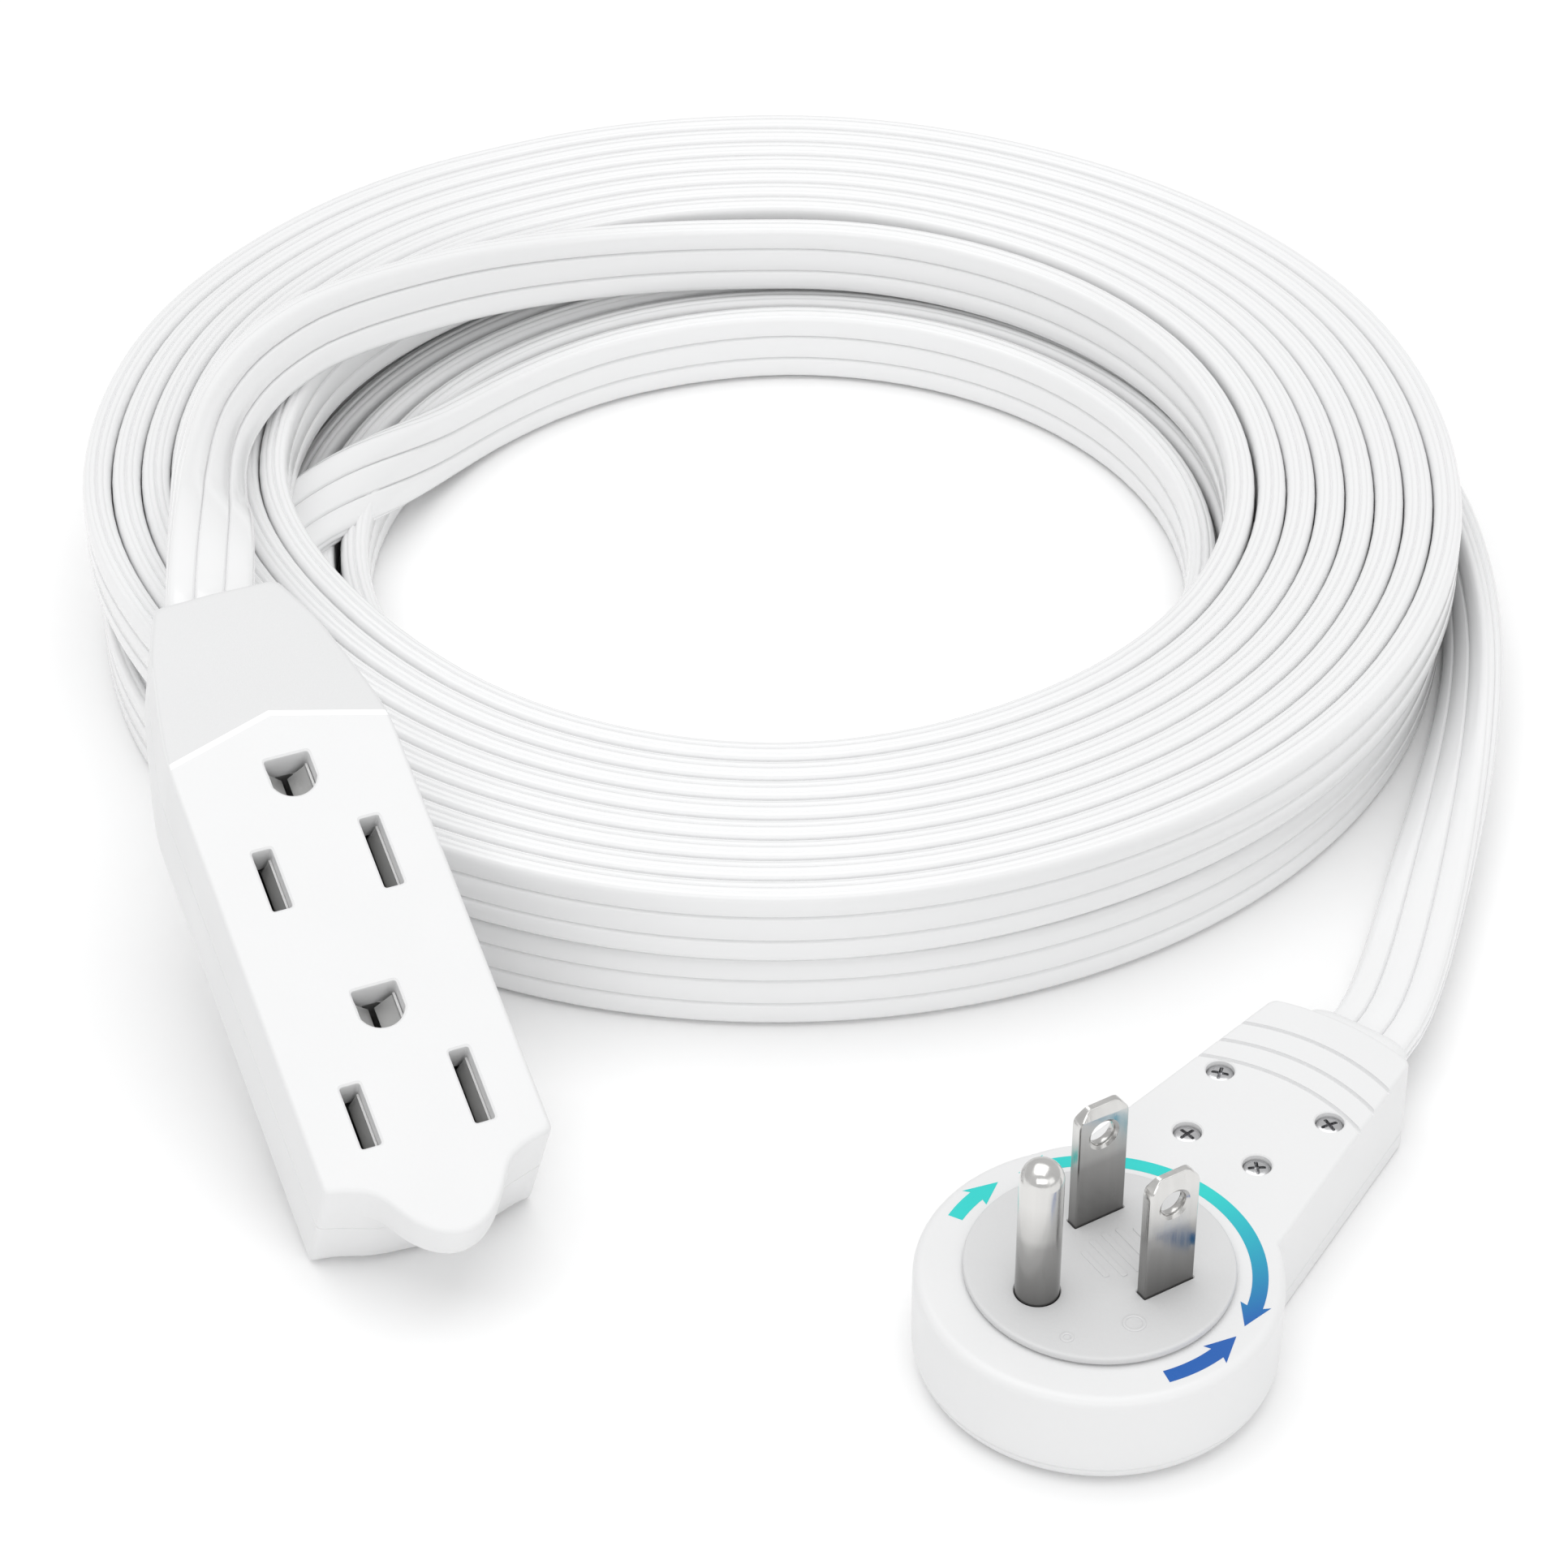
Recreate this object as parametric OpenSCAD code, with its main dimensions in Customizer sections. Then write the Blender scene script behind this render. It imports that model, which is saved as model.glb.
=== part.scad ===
// Flat indoor extension cord: rotating right-angle plug, coiled flat cable, three-outlet tap.
// Millimetres, +Z up. The coil lies on the floor, the plug lies prongs up beside it, and
// the tap leans with its cable end over the coil's edge.

/* [Cable] */
// Width of the flat cable
cable_w = 10.2; // [9.6:0.1:10.8]
// Thickness of the flat cable
cable_t = 3.6; // [3.2:0.1:3.7]

/* [Coil] */
// Inner radius of the lower layer of turns
coil_inner_r = 52; // [50:0.5:54]
// Inner radius of the upper layer of turns
coil_upper_inner_r = 57; // [56:0.5:58]
// Outer radius of both layers
coil_outer_r = 88; // [87:0.5:89]
// Slack between the coil's two layers
coil_layer_gap = 0.8; // [0:0.1:1.5]

/* [Plug] */
// Radius of the round plug housing
plug_r = 19.7; // [19:0.1:21]
// Height of the plug housing
plug_h = 12.4; // [12.2:0.1:13]
// Wall thickness of the plug housing
plug_wall = 1.7; // [1.5:0.1:1.9]
// Direction of the plug's neck, from +X
plug_angle = 53; // [40:1:60]
// Direction of the blades, from +X, seen from the rotor's centre
rotor_angle = 32; // [0:1:360]

/* [Rotor] */
// Radius of the rotor's face
rotor_r = 14.45; // [14:0.05:15]
// Radius of the window that the rotor's hub turns in
window_r = 12.5; // [12.3:0.1:12.6]
// Radial clearance between hub and window
hub_clearance = 0.08; // [0.05:0.01:0.1]
// Distance between the two blades
blade_gap = 12.7; // [12.6:0.1:12.8]
// Width of a blade
blade_w = 6.3; // [6.1:0.1:6.5]
// Thickness of a blade
blade_t = 1.5; // [1.4:0.05:1.6]
// Length of a blade beyond the rotor's face
blade_l = 15.9; // [15.9:0.1:17.5]
// Radius of the ground pin
pin_r = 2.38; // [2.34:0.01:2.41]
// Length of the ground pin beyond the rotor's face
pin_l = 18.1; // [18:0.1:19.5]
// Distance from the blades' line to the ground pin
pin_offset = 11.9; // [11.8:0.1:12]

/* [Tap] */
// Width of the tap
tap_w = 26; // [25:0.5:28]
// Length of the tap without its pull tab
tap_l = 75.3; // [75:0.1:76]
// Thickness of the tap
tap_t = 19; // [18.6:0.1:20]
// Wall thickness of the tap's shells
tap_wall = 1.6; // [1.4:0.1:1.8]
// Width of the tap at its cable end
tap_end_w = 14.6; // [14:0.2:16]
// Slope of the leaning tap
tap_tilt = 25; // [24.5:0.5:27]
// Direction of the tap from far end to cable end, from +X
tap_yaw = 113.5; // [110:0.5:116]

/* [Hidden] */
$fn = 72;
eps = 0.01;

// Places of the three groups on the floor
plug_pos = [34.9, -31.4];
tap_pos = [-38.3, -12.4];
coil_pos = [1.1, 107.6];

// Plug heights
base_h = 2.4;
base_floor = 1.6;
cover_top = 1.8;
cord_z = 6.2;
carrier_top = 4.0;
ring_top = 4.1;
ring_t = 0.7;
foot_z = 7.5;
foot_t = 0.8;
rotor_back_z = 8.3;
hub_z = 10.5;
face_z = plug_h + 0.1;
rotor_top = plug_h + 1.1;
wiper_t = 0.4;
wiper_z = 4.25;

// Plug plan: the neck narrows in a straight line from the round housing to its end
neck_root_x = 12;
neck_root_w = 13.3;
neck_end_x = 48.2;
neck_end_w = 9.1;
neck_end_arc_r = 30;
boot_end_x = 54;
plug_screw_places = [[34.4, 7.1], [34.4, -7.1], [23.8, 4.5], [23.8, -4.5]];
groove_places = [35, 38.4, 42.1];
groove_arc_r = 24;

// Slip rings: inner and outer radius
hot_track = [7.05, 9.35];
neutral_track = [11.05, 13.35];
ground_track_r = 2.75;

// Rotor plan, along the line from ground pin to blades
blade_p = 3.9;
pin_p = blade_p - pin_offset;

// Tap plan, from its far end
outlet_y = [7.5, 37.1];
ground_y = [for (y = outlet_y) y + pin_offset];
back_outlet_y = 22;
back_ground_y = back_outlet_y - pin_offset;
slot_w = 2.2;
hot_slot_l = 7.4;
neutral_slot_l = 8.8;
ground_hole_r = 2.7;
ground_hole_flat = 2.1;
side_end_y = 54.4;
ridge_side_y = 53.4;
ridge_mid_y = 57;
end_drop = 3.5;
tap_mid = tap_t / 2;
tap_post_places = [[-9.9, 14.4], [9.9, 14.4], [-9.9, 46], [9.9, 46]];
pull_tab_t = 6;

// Leads and cable joints
lead_r = 1.2;
tail_start_x = 39;
tail_start_y = 64;

// ---------- functions for cable routes ----------

function unit(v) = v / norm(v);
function plug_point(x, z, roll) =
    [plug_pos[0] + x * cos(plug_angle), plug_pos[1] + x * sin(plug_angle), z, roll];
function tap_point(y, z, roll) =
    [tap_pos[0] + cos(tap_yaw) * (y * cos(tap_tilt) - z * sin(tap_tilt)),
     tap_pos[1] + sin(tap_yaw) * (y * cos(tap_tilt) - z * sin(tap_tilt)),
     y * sin(tap_tilt) + z * cos(tap_tilt), roll];
function coil_point(p) =
    [coil_pos[0] + p[1] * cos(p[0]), coil_pos[1] + p[1] * sin(p[0]), p[2], p[3]];

function spline(a, b, c, d, t) =
    (2 * b + (c - a) * t + (2 * a - 5 * b + 4 * c - d) * t * t
     + (3 * b - a - 3 * c + d) * t * t * t) / 2;
function at(list, i) = list[max(0, min(len(list) - 1, i))];
function smooth_route(pts, steps) = [
    for (i = [0 : len(pts) - 2], s = [0 : steps - 1])
        spline(at(pts, i - 1), pts[i], pts[i + 1], at(pts, i + 2), s / steps),
    pts[len(pts) - 1]
];
function place(p) = [p[0], p[1], p[2]];

// Outline of the flat cable, twelve points
function cable_outline() = [
    for (q = [[1, 0.45], [0.86, 0.88], [0.66, 1], [-0.66, 1], [-0.86, 0.88], [-1, 0.45],
              [-1, -0.45], [-0.86, -0.88], [-0.66, -1], [0.66, -1], [0.86, -0.88], [1, -0.45]])
        [q[0] * cable_w / 2, q[1] * cable_t / 2]
];
// Outline of a round lead
function round_outline(r, n) = [for (i = [0 : n - 1]) r * [cos(360 * i / n), sin(360 * i / n)]];

// One ring of the swept outline: roll 0 lays the outline's first axis level, to the right of travel
function ring(p, t, outline) =
    let (side = unit(cross(t, [0, 0, 1])), up = cross(side, t),
         a = cos(p[3]) * side + sin(p[3]) * up, b = cos(p[3]) * up - sin(p[3]) * side)
    [for (q = outline) place(p) + q[0] * a + q[1] * b];

// Sweeps an outline along [x, y, z, roll] points
module sweep(pts, outline) {
    n = len(outline);
    last = len(pts) - 1;
    rings = [
        for (i = [0 : last])
            ring(pts[i], unit(place(at(pts, i + 1)) - place(at(pts, i - 1))), outline)
    ];
    walls = [
        for (i = [0 : last - 1], j = [0 : n - 1], half = [0, 1])
            half == 0 ? [i * n + j, i * n + (j + 1) % n, (i + 1) * n + j]
                      : [i * n + (j + 1) % n, (i + 1) * n + (j + 1) % n, (i + 1) * n + j]
    ];
    first_cap = [for (j = [n - 1 : -1 : 0]) j];
    last_cap = [for (j = [0 : n - 1]) last * n + j];
    polyhedron([for (r = rings) each r], concat([first_cap], walls, [last_cap]));
}

// ---------- frames of the groups ----------

module on_plug() { translate([plug_pos[0], plug_pos[1], 0]) rotate([0, 0, plug_angle]) children(); }
module on_rotor() { translate([plug_pos[0], plug_pos[1], 0]) rotate([0, 0, rotor_angle]) children(); }
module on_tap() {
    translate([tap_pos[0], tap_pos[1], 0]) rotate([0, 0, tap_yaw - 90]) rotate([tap_tilt, 0, 0])
        children();
}

module tube(r_out, r_in, z, h) {
    translate([0, 0, z]) difference() {
        cylinder(r = r_out, h = h);
        translate([0, 0, -1]) cylinder(r = r_in, h = h + 2);
    }
}
// A box given by its low and high corners
module block(low, high) { translate(low) cube(high - low); }

// ---------- plug housing ----------

// Plan of the plug: a round housing with a neck, drawn inside its outer edge by inset
module plug_plan(inset) {
    circle(r = plug_r - inset);
    intersection() {
        polygon([[0, -neck_root_w - 1.4 + inset], [neck_end_x + 3, -neck_end_w + 0.4 + inset],
                 [neck_end_x + 3, neck_end_w - 0.4 - inset], [0, neck_root_w + 1.4 - inset]]);
        translate([neck_end_x + 1.5 - neck_end_arc_r, 0]) circle(r = neck_end_arc_r - inset);
    }
}
module plug_slab(inset, z, h) { translate([0, 0, z]) linear_extrude(height = h) plug_plan(inset); }

// Opening in the neck's end that the boot sits in
module boot_opening() { block([neck_end_x - 3, -6.4, cord_z - 3.4], [neck_end_x + 4, 6.4, cord_z + 3.4]); }

module plug_base() {
    color("whitesmoke") on_plug() difference() {
        union() {
            difference() {
                intersection() {
                    plug_slab(0, 0, base_h);
                    union() {
                        cylinder(r1 = plug_r - 2.2, r2 = plug_r, h = base_h);
                        block([neck_root_x, -20, 0], [60, 20, base_h]);
                    }
                }
                plug_slab(plug_wall + 0.95, base_floor, 5);
            }
            // Lip that stands inside the cover's wall
            difference() {
                plug_slab(plug_wall + 0.05, base_floor, 2.6);
                plug_slab(plug_wall + 0.95, base_floor - 1, 5);
                boot_opening();
            }
            for (p = plug_screw_places) translate([p[0], p[1], base_floor - 0.2]) cylinder(r = 1.85, h = 7);
        }
        for (p = plug_screw_places) translate([p[0], p[1], 2.6]) cylinder(r = 1.05, h = 10);
    }
}

module plug_cover() {
    color("white") on_plug() difference() {
        union() {
            difference() {
                plug_slab(0, base_h, plug_h - base_h);
                plug_slab(plug_wall, base_h - 1, plug_h - cover_top - base_h + 1);
            }
            for (p = plug_screw_places) translate([p[0], p[1], 8.5]) cylinder(r = 2.8, h = 3);
        }
        translate([0, 0, 8]) cylinder(r = window_r, h = 6);
        for (p = plug_screw_places) translate([p[0], p[1], 0]) {
            cylinder(r = 1.3, h = 20);
            translate([0, 0, plug_h - 1.7]) cylinder(r = 1.65, h = 3);
        }
        boot_opening();
        for (x = groove_places) intersection() {
            translate([x + 2.5 - groove_arc_r, 0, 0])
                tube(groove_arc_r + 0.3, groove_arc_r - 0.3, plug_h - 0.5, 1);
            block([x - 1, -12, 0], [x + 4, 12, 20]);
        }
    }
}

// Four countersunk cross-head screws, as one node of separate solids
module plug_screws() {
    color("silver") on_plug() for (p = plug_screw_places) translate([p[0], p[1], 0]) difference() {
        union() {
            translate([0, 0, 3]) cylinder(r = 1, h = 8);
            translate([0, 0, plug_h - 1.7]) cylinder(r = 1.52, h = 1.2);
        }
        for (a = [0, 90]) rotate([0, 0, a + p[0] * 2])
            block([-1, -0.25, plug_h - 1.2], [1, 0.25, plug_h + 1]);
    }
}

// Strain relief: a flange inside the neck and a tapered collar outside it
module plug_boot() {
    color("white") on_plug() difference() {
        union() {
            block([neck_end_x - 2.2, -6.3, cord_z - 3.3], [neck_end_x + 1.8, 6.3, cord_z + 3.3]);
            block([neck_end_x - 2.2, -7.2, 4.4], [neck_end_x - 1.2, 7.2, 10]);
            intersection() {
                translate([neck_end_x + 1.7, 0, 0]) linear_extrude(height = 12) polygon([
                    [0, -6.2], [boot_end_x - neck_end_x - 1.7, -5.5],
                    [boot_end_x - neck_end_x - 1.7, 5.5], [0, 6.2]]);
                translate([neck_end_x + 1.7, 10, cord_z]) rotate([90, 0, 0])
                    linear_extrude(height = 20) polygon([
                        [0, -3.2], [boot_end_x - neck_end_x - 1.7, -2.2],
                        [boot_end_x - neck_end_x - 1.7, 2.2], [0, 3.2]]);
            }
        }
        block([0, -cable_w / 2, cord_z - cable_t / 2], [60, cable_w / 2, cord_z + cable_t / 2]);
    }
}

// End of the flat cable inside the plug
module plug_cord_tail() {
    color("white") on_plug()
        block([tail_start_x, -cable_w / 2, cord_z - cable_t / 2],
              [boot_end_x, cable_w / 2, cord_z + cable_t / 2]);
}

// Bars that hold the cable's end between the plug's base and cover
module plug_clamp() {
    color("gainsboro") on_plug() {
        block([39.6, -5.6, cord_z + cable_t / 2], [42.6, 5.6, plug_h - cover_top]);
        block([39.6, -5.6, base_floor], [42.6, 5.6, cord_z - cable_t / 2]);
    }
}

// ---------- slip rings in the housing ----------

module ring_channel(y) { block([-1, y - 1.3, base_floor - 1], [16, y + 1.3, 2.8]); }

module ring_carrier() {
    color("ivory") on_plug() difference() {
        tube(14.2, 0.6, base_floor, carrier_top - base_floor);
        tube(neutral_track[1], neutral_track[0], ring_top - ring_t, 2);
        tube(hot_track[1], hot_track[0], ring_top - ring_t, 2);
        translate([0, 0, ring_top - ring_t]) cylinder(r = ground_track_r, h = 2);
        for (y = [-4, 0, 4]) ring_channel(y);
        for (s = [[12.2, 4], [8.2, -4], [0, 0]])
            translate([sqrt(s[0] * s[0] - s[1] * s[1]), s[1], 0]) cylinder(r = 0.9, h = 5);
    }
}

// A slip ring's strap: a post down from the ring and a flat tail out to its lead
module ring_strap(x, y) {
    translate([x, y, 1.9]) cylinder(r = 0.8, h = ring_top - ring_t - 1.9);
    block([x - 0.8, y - 0.8, 1.9], [17, y + 0.8, 2.5]);
    block([16.2, y - 0.8, 1.9], [17, y + 0.8, 5]);
}
module neutral_ring() {
    color("goldenrod") on_plug() {
        tube(neutral_track[1], neutral_track[0], ring_top - ring_t, ring_t);
        ring_strap(sqrt(12.2 * 12.2 - 16), 4);
    }
}
module hot_ring() {
    color("goldenrod") on_plug() {
        tube(hot_track[1], hot_track[0], ring_top - ring_t, ring_t);
        ring_strap(sqrt(8.2 * 8.2 - 16), -4);
    }
}
module ground_contact() {
    color("goldenrod") on_plug() {
        translate([0, 0, ring_top - ring_t]) cylinder(r = ground_track_r, h = ring_t);
        ring_strap(0, 0);
    }
}

// Insulated leads from the straps, round the screw posts, to the cable's end
module plug_lead(start_y, post_y, neck_y, end_y, tint) {
    route = [[17.05, start_y, 5.4, 0], [18.1, start_y, 5.4, 0],
             [20.4, (start_y + post_y) / 2, 5.6, 0], [24, post_y, 5.8, 0],
             [28.5, (post_y + neck_y) / 2, cord_z, 0], [33, neck_y, cord_z, 0],
             [36.5, end_y, cord_z, 0], [tail_start_x - 0.2, end_y, cord_z, 0]];
    color(tint) on_plug() sweep(smooth_route(route, 3), round_outline(lead_r, 12));
}
module plug_hot_lead() { plug_lead(-4, -8.6, -3, -3.2, "#202020"); }
module plug_neutral_lead() { plug_lead(4, 8.6, 3, 3.2, "white"); }
module plug_ground_lead() { plug_lead(0, 0, 0, 0, "seagreen"); }

// ---------- rotor ----------

module rotor_openings() {
    for (s = [-1, 1])
        block([blade_p - blade_w / 2 - 0.03, s * blade_gap / 2 - blade_t / 2 - 0.03, 0],
              [blade_p + blade_w / 2 + 0.03, s * blade_gap / 2 + blade_t / 2 + 0.03, 30]);
    translate([pin_p, 0, 0]) cylinder(r = pin_r + 0.27, h = 30);
}
rivet_places = [[10.4, 0], [-4, 8.6], [-4, -8.6]];

module rotor_disc() {
    color("white") on_rotor() difference() {
        union() {
            translate([0, 0, face_z]) cylinder(r = rotor_r, h = rotor_top - face_z - 0.3);
            translate([0, 0, rotor_top - 0.3]) cylinder(r1 = rotor_r, r2 = rotor_r - 0.3, h = 0.3);
            translate([0, 0, hub_z]) cylinder(r = window_r - hub_clearance, h = face_z - hub_z);
        }
        rotor_openings();
        for (p = rivet_places) translate([p[0], p[1], 0]) cylinder(r = 0.9, h = 12.3);
    }
}

module rotor_back() {
    color("gainsboro") on_rotor() difference() {
        translate([0, 0, rotor_back_z]) cylinder(r = 14.3, h = hub_z - rotor_back_z);
        rotor_openings();
        for (p = rivet_places) translate([p[0], p[1], 0]) cylinder(r = 0.9, h = 12);
    }
}

module rotor_rivets() {
    color("silver") on_rotor() for (p = rivet_places) translate([p[0], p[1], 0]) {
        translate([0, 0, rotor_back_z - 0.7]) cylinder(r = 1.6, h = 0.7);
        translate([0, 0, rotor_back_z]) cylinder(r = 0.88, h = 12.2 - rotor_back_z);
    }
}

// A blade with bevelled tip, a round hole and a foot under the rotor's back plate
module blade(side) {
    y = side * blade_gap / 2;
    top = rotor_top + blade_l;
    low = rotor_back_z - foot_t;
    w = blade_w / 2;
    t = blade_t / 2;
    color("lightsteelblue") on_rotor() translate([blade_p, y, 0]) difference() {
        union() {
            intersection() {
                rotate([90, 0, 0]) linear_extrude(height = 4, center = true) polygon([
                    [-w, low], [w, low], [w, top - 1.6], [w - 1, top], [1 - w, top], [-w, top - 1.6]]);
                rotate([90, 0, 90]) linear_extrude(height = 10, center = true) polygon([
                    [-t, low], [t, low], [t, top - 1.1], [t - 0.35, top], [0.35 - t, top], [-t, top - 1.1]]);
            }
            block([-w, min(0, side * 2.6), low], [w, max(0, side * 2.6), rotor_back_z]);
        }
        translate([0, 0, top - 4]) rotate([90, 0, 0]) cylinder(r = 1.6, h = 10, center = true);
    }
}
module hot_blade() { blade(1); }
module neutral_blade() { blade(-1); }

// The ground pin, with a thicker root inside the rotor
module ground_pin() {
    color("lightsteelblue") on_rotor() translate([pin_p, 0, 0]) {
        translate([0, 0, rotor_back_z]) cylinder(r = pin_r + 0.25, h = rotor_top - rotor_back_z);
        translate([0, 0, rotor_top]) cylinder(r = pin_r, h = pin_l - pin_r);
        translate([0, 0, rotor_top + pin_l - pin_r]) sphere(r = pin_r);
        translate([0, 0, rotor_back_z - foot_t]) cylinder(r = 3.3, h = foot_t);
    }
}

// A leaf spring: flat under the foot, slanting down to a curled contact on its slip ring.
// Its side view runs along the rotor's line from p_foot to p_touch.
module wiper(p_foot, p_bend, p_touch, y, width) {
    d = p_touch > p_bend ? 1 : -1;
    z = foot_z - wiper_t;
    color("goldenrod") on_rotor() translate([0, y + width / 2, 0]) rotate([90, 0, 0])
        linear_extrude(height = width) polygon([
            [p_foot, z], [p_foot, z + wiper_t], [p_bend, z + wiper_t],
            [p_touch - d * 0.2, wiper_z + wiper_t], [p_touch + d * 0.2, wiper_z + wiper_t],
            [p_touch + d * 1.4, wiper_z + 1.1], [p_touch + d * 1.7, wiper_z + 0.8],
            [p_touch + d * 0.4, wiper_z], [p_touch - d * 0.4, wiper_z], [p_bend - d * 0.2, z]
        ]);
}
module hot_wiper() { wiper(6.6, 2, -3, 7.5, 2.2); }
module neutral_wiper() { wiper(6.6, 2, -9, -8.2, 2.2); }
module ground_wiper() { wiper(-10.4, -5.2, -0.4, 0, 3); }

// ---------- tap ----------

// Plan of the tap from its far end (y = 0) to its cable end, drawn inside its edge by inset
module tap_plan(inset) {
    w = tap_w / 2 - inset;
    e = tap_end_w / 2 - inset;
    polygon([
        [-w + 1, inset], [w - 1, inset], [w, inset + 1], [w, side_end_y],
        [w - 1.3, side_end_y + 6.5], [e + 2.6, tap_l - 6.5], [e, tap_l - 1.2 - inset],
        [e - 1.2, tap_l - inset], [-e + 1.2, tap_l - inset], [-e, tap_l - 1.2 - inset],
        [-e - 2.6, tap_l - 6.5], [-w + 1.3, side_end_y + 6.5], [-w, side_end_y], [-w, inset + 1]
    ]);
}
module tap_slab(inset, z, h) { translate([0, 0, z]) linear_extrude(height = h) tap_plan(inset); }

// Everything above the sloping faces that fall away from the ridge to the cable end
module above_slope(height) {
    slope = atan(end_drop / (tap_l - ridge_mid_y));
    skew = atan((ridge_mid_y - ridge_side_y) / (tap_w / 2));
    for (s = [-1, 1])
        translate([0, ridge_mid_y, height]) rotate([0, 0, -s * skew]) rotate([-slope, 0, 0])
            block([-30, 0, 0], [30, 40, 20]);
}

module ground_hole(y, flat) {
    translate([0, y, 0]) {
        cylinder(r = ground_hole_r, h = 8);
        block([0.15 - ground_hole_r, min(0, flat), 0], [ground_hole_r - 0.15, max(0, flat), 8]);
    }
}
// The three openings of one outlet; toward is 1 with the ground hole on the cable side
module outlet_openings(y, toward) {
    block([-blade_gap / 2 - slot_w / 2, y - hot_slot_l / 2, 0],
          [-blade_gap / 2 + slot_w / 2, y + hot_slot_l / 2, 8]);
    block([blade_gap / 2 - slot_w / 2, y - neutral_slot_l / 2, 0],
          [blade_gap / 2 + slot_w / 2, y + neutral_slot_l / 2, 8]);
    ground_hole(y + toward * pin_offset, toward * ground_hole_flat);
}

module tap_posts(z, h) { for (p = tap_post_places) translate([p[0], p[1], z]) cylinder(r = 2, h = h); }
module cable_port() {
    block([-6.3, tap_l - 5, tap_mid - 2.9], [6.3, tap_l + 5, tap_mid + 2.9]);
}

module tap_upper_shell() {
    color("white") on_tap() difference() {
        union() {
            difference() {
                tap_slab(0, tap_mid, tap_t - tap_mid);
                difference() {
                    tap_slab(tap_wall, tap_mid - 1, tap_t - tap_wall - tap_mid + 1);
                    above_slope(tap_t - tap_wall);
                }
            }
            translate([0, 0, tap_t - pull_tab_t]) linear_extrude(height = pull_tab_t) {
                translate([0, -3.3]) circle(r = 5.6);
                polygon([[-10, 0.5], [-5.6, -2.6], [5.6, -2.6], [10, 0.5]]);
            }
            tap_posts(tap_mid, tap_t - tap_wall - tap_mid);
        }
        above_slope(tap_t);
        for (y = outlet_y) translate([0, 0, tap_t - 4]) outlet_openings(y, 1);
        translate([0, back_ground_y, tap_t - tap_wall - 1]) cylinder(r = ground_hole_r, h = 1.8);
        for (p = tap_post_places) translate([p[0], p[1], tap_mid - 1]) cylinder(r = 1.1, h = 7);
        cable_port();
    }
}

module tap_lower_shell() {
    color("whitesmoke") on_tap() difference() {
        union() {
            difference() {
                tap_slab(0, 0, tap_mid);
                difference() {
                    tap_slab(tap_wall, tap_wall, tap_t);
                    translate([0, 0, tap_t]) mirror([0, 0, 1]) above_slope(tap_t - tap_wall);
                }
            }
            tap_posts(tap_wall - 0.2, tap_mid - tap_wall + 0.2);
        }
        translate([0, 0, tap_t]) mirror([0, 0, 1]) above_slope(tap_t);
        translate([0, 0, -4]) outlet_openings(back_outlet_y, -1);
        for (y = ground_y) translate([0, y, 0.8]) cylinder(r = ground_hole_r, h = 1.8);
        for (p = tap_post_places) translate([p[0], p[1], -1]) {
            cylinder(r = 1.3, h = 20);
            cylinder(r = 2.5, h = 2.2);
        }
        cable_port();
    }
}

// Two insulating walls between the live, ground and neutral contacts, held between the shells
module tap_dividers() {
    color("gainsboro") on_tap()
        for (x = [-4.1, 3.4]) block([x, tap_wall, tap_wall], [x + 0.7, 52, tap_t - tap_wall]);
}

// Four screws driven in from the underside, as one node of separate solids
module tap_screws() {
    color("silver") on_tap() for (p = tap_post_places) translate([p[0], p[1], 0]) difference() {
        union() {
            translate([0, 0, 0.2]) cylinder(r = 2.3, h = 1);
            translate([0, 0, 1]) cylinder(r = 1.08, h = 13.6);
        }
        for (a = [0, 90]) rotate([0, 0, a + 20]) block([-1.5, -0.35, -1], [1.5, 0.35, 0.8]);
    }
}

module tap_boot() {
    color("white") on_tap() difference() {
        union() {
            block([-6.2, tap_l - 4.9, tap_mid - 2.8], [6.2, tap_l + 1.2, tap_mid + 2.8]);
            block([-6.8, tap_l - 6.6, tap_mid - 4], [6.8, tap_l - 4.8, tap_mid + 4]);
        }
        block([-cable_w / 2, 60, tap_mid - cable_t / 2], [cable_w / 2, 90, tap_mid + cable_t / 2]);
    }
}
module tap_cord_tail() {
    color("white") on_tap()
        block([-cable_w / 2, tail_start_y, tap_mid - cable_t / 2],
              [cable_w / 2, tap_l + 1.2, tap_mid + cable_t / 2]);
}
module tap_clamp() {
    color("gainsboro") on_tap() {
        block([-5.4, 65.2, tap_mid + cable_t / 2], [5.4, 68.2, tap_mid + cable_t / 2 + 3.2]);
        block([-5.4, 65.2, tap_mid - cable_t / 2 - 3.2], [5.4, 68.2, tap_mid - cable_t / 2]);
    }
}

// A bus of two long leaves that grip blades from either face, bridged at both ends
module blade_bus(x) {
    color("goldenrod") on_tap() {
        for (s = [-1, 1])
            block([x + s * 1.15 - 0.25, 2.4, 5.6], [x + s * 1.15 + 0.25, 54, 13.4]);
        block([x - 1.4, 1.9, 6.4], [x + 1.4, 2.4, 12.6]);
        block([x - 1.4, 53.6, 6.4], [x + 1.4, 54.1, 12.6]);
    }
}
module tap_hot_bus() { blade_bus(-blade_gap / 2); }
module tap_neutral_bus() { blade_bus(blade_gap / 2); }

// A ground strap with a sleeve for each ground pin
module tap_ground_bus() {
    sleeve_r = pin_r + 0.05;
    color("goldenrod") on_tap() difference() {
        union() {
            block([-2.4, back_ground_y, tap_mid - 0.3], [2.4, 54.1, tap_mid + 0.3]);
            for (y = concat(ground_y, [back_ground_y]))
                translate([0, y, 4.5]) cylinder(r = sleeve_r + 0.6, h = 10);
        }
        for (y = concat(ground_y, [back_ground_y]))
            translate([0, y, 4]) cylinder(r = sleeve_r, h = 11);
    }
}

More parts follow.
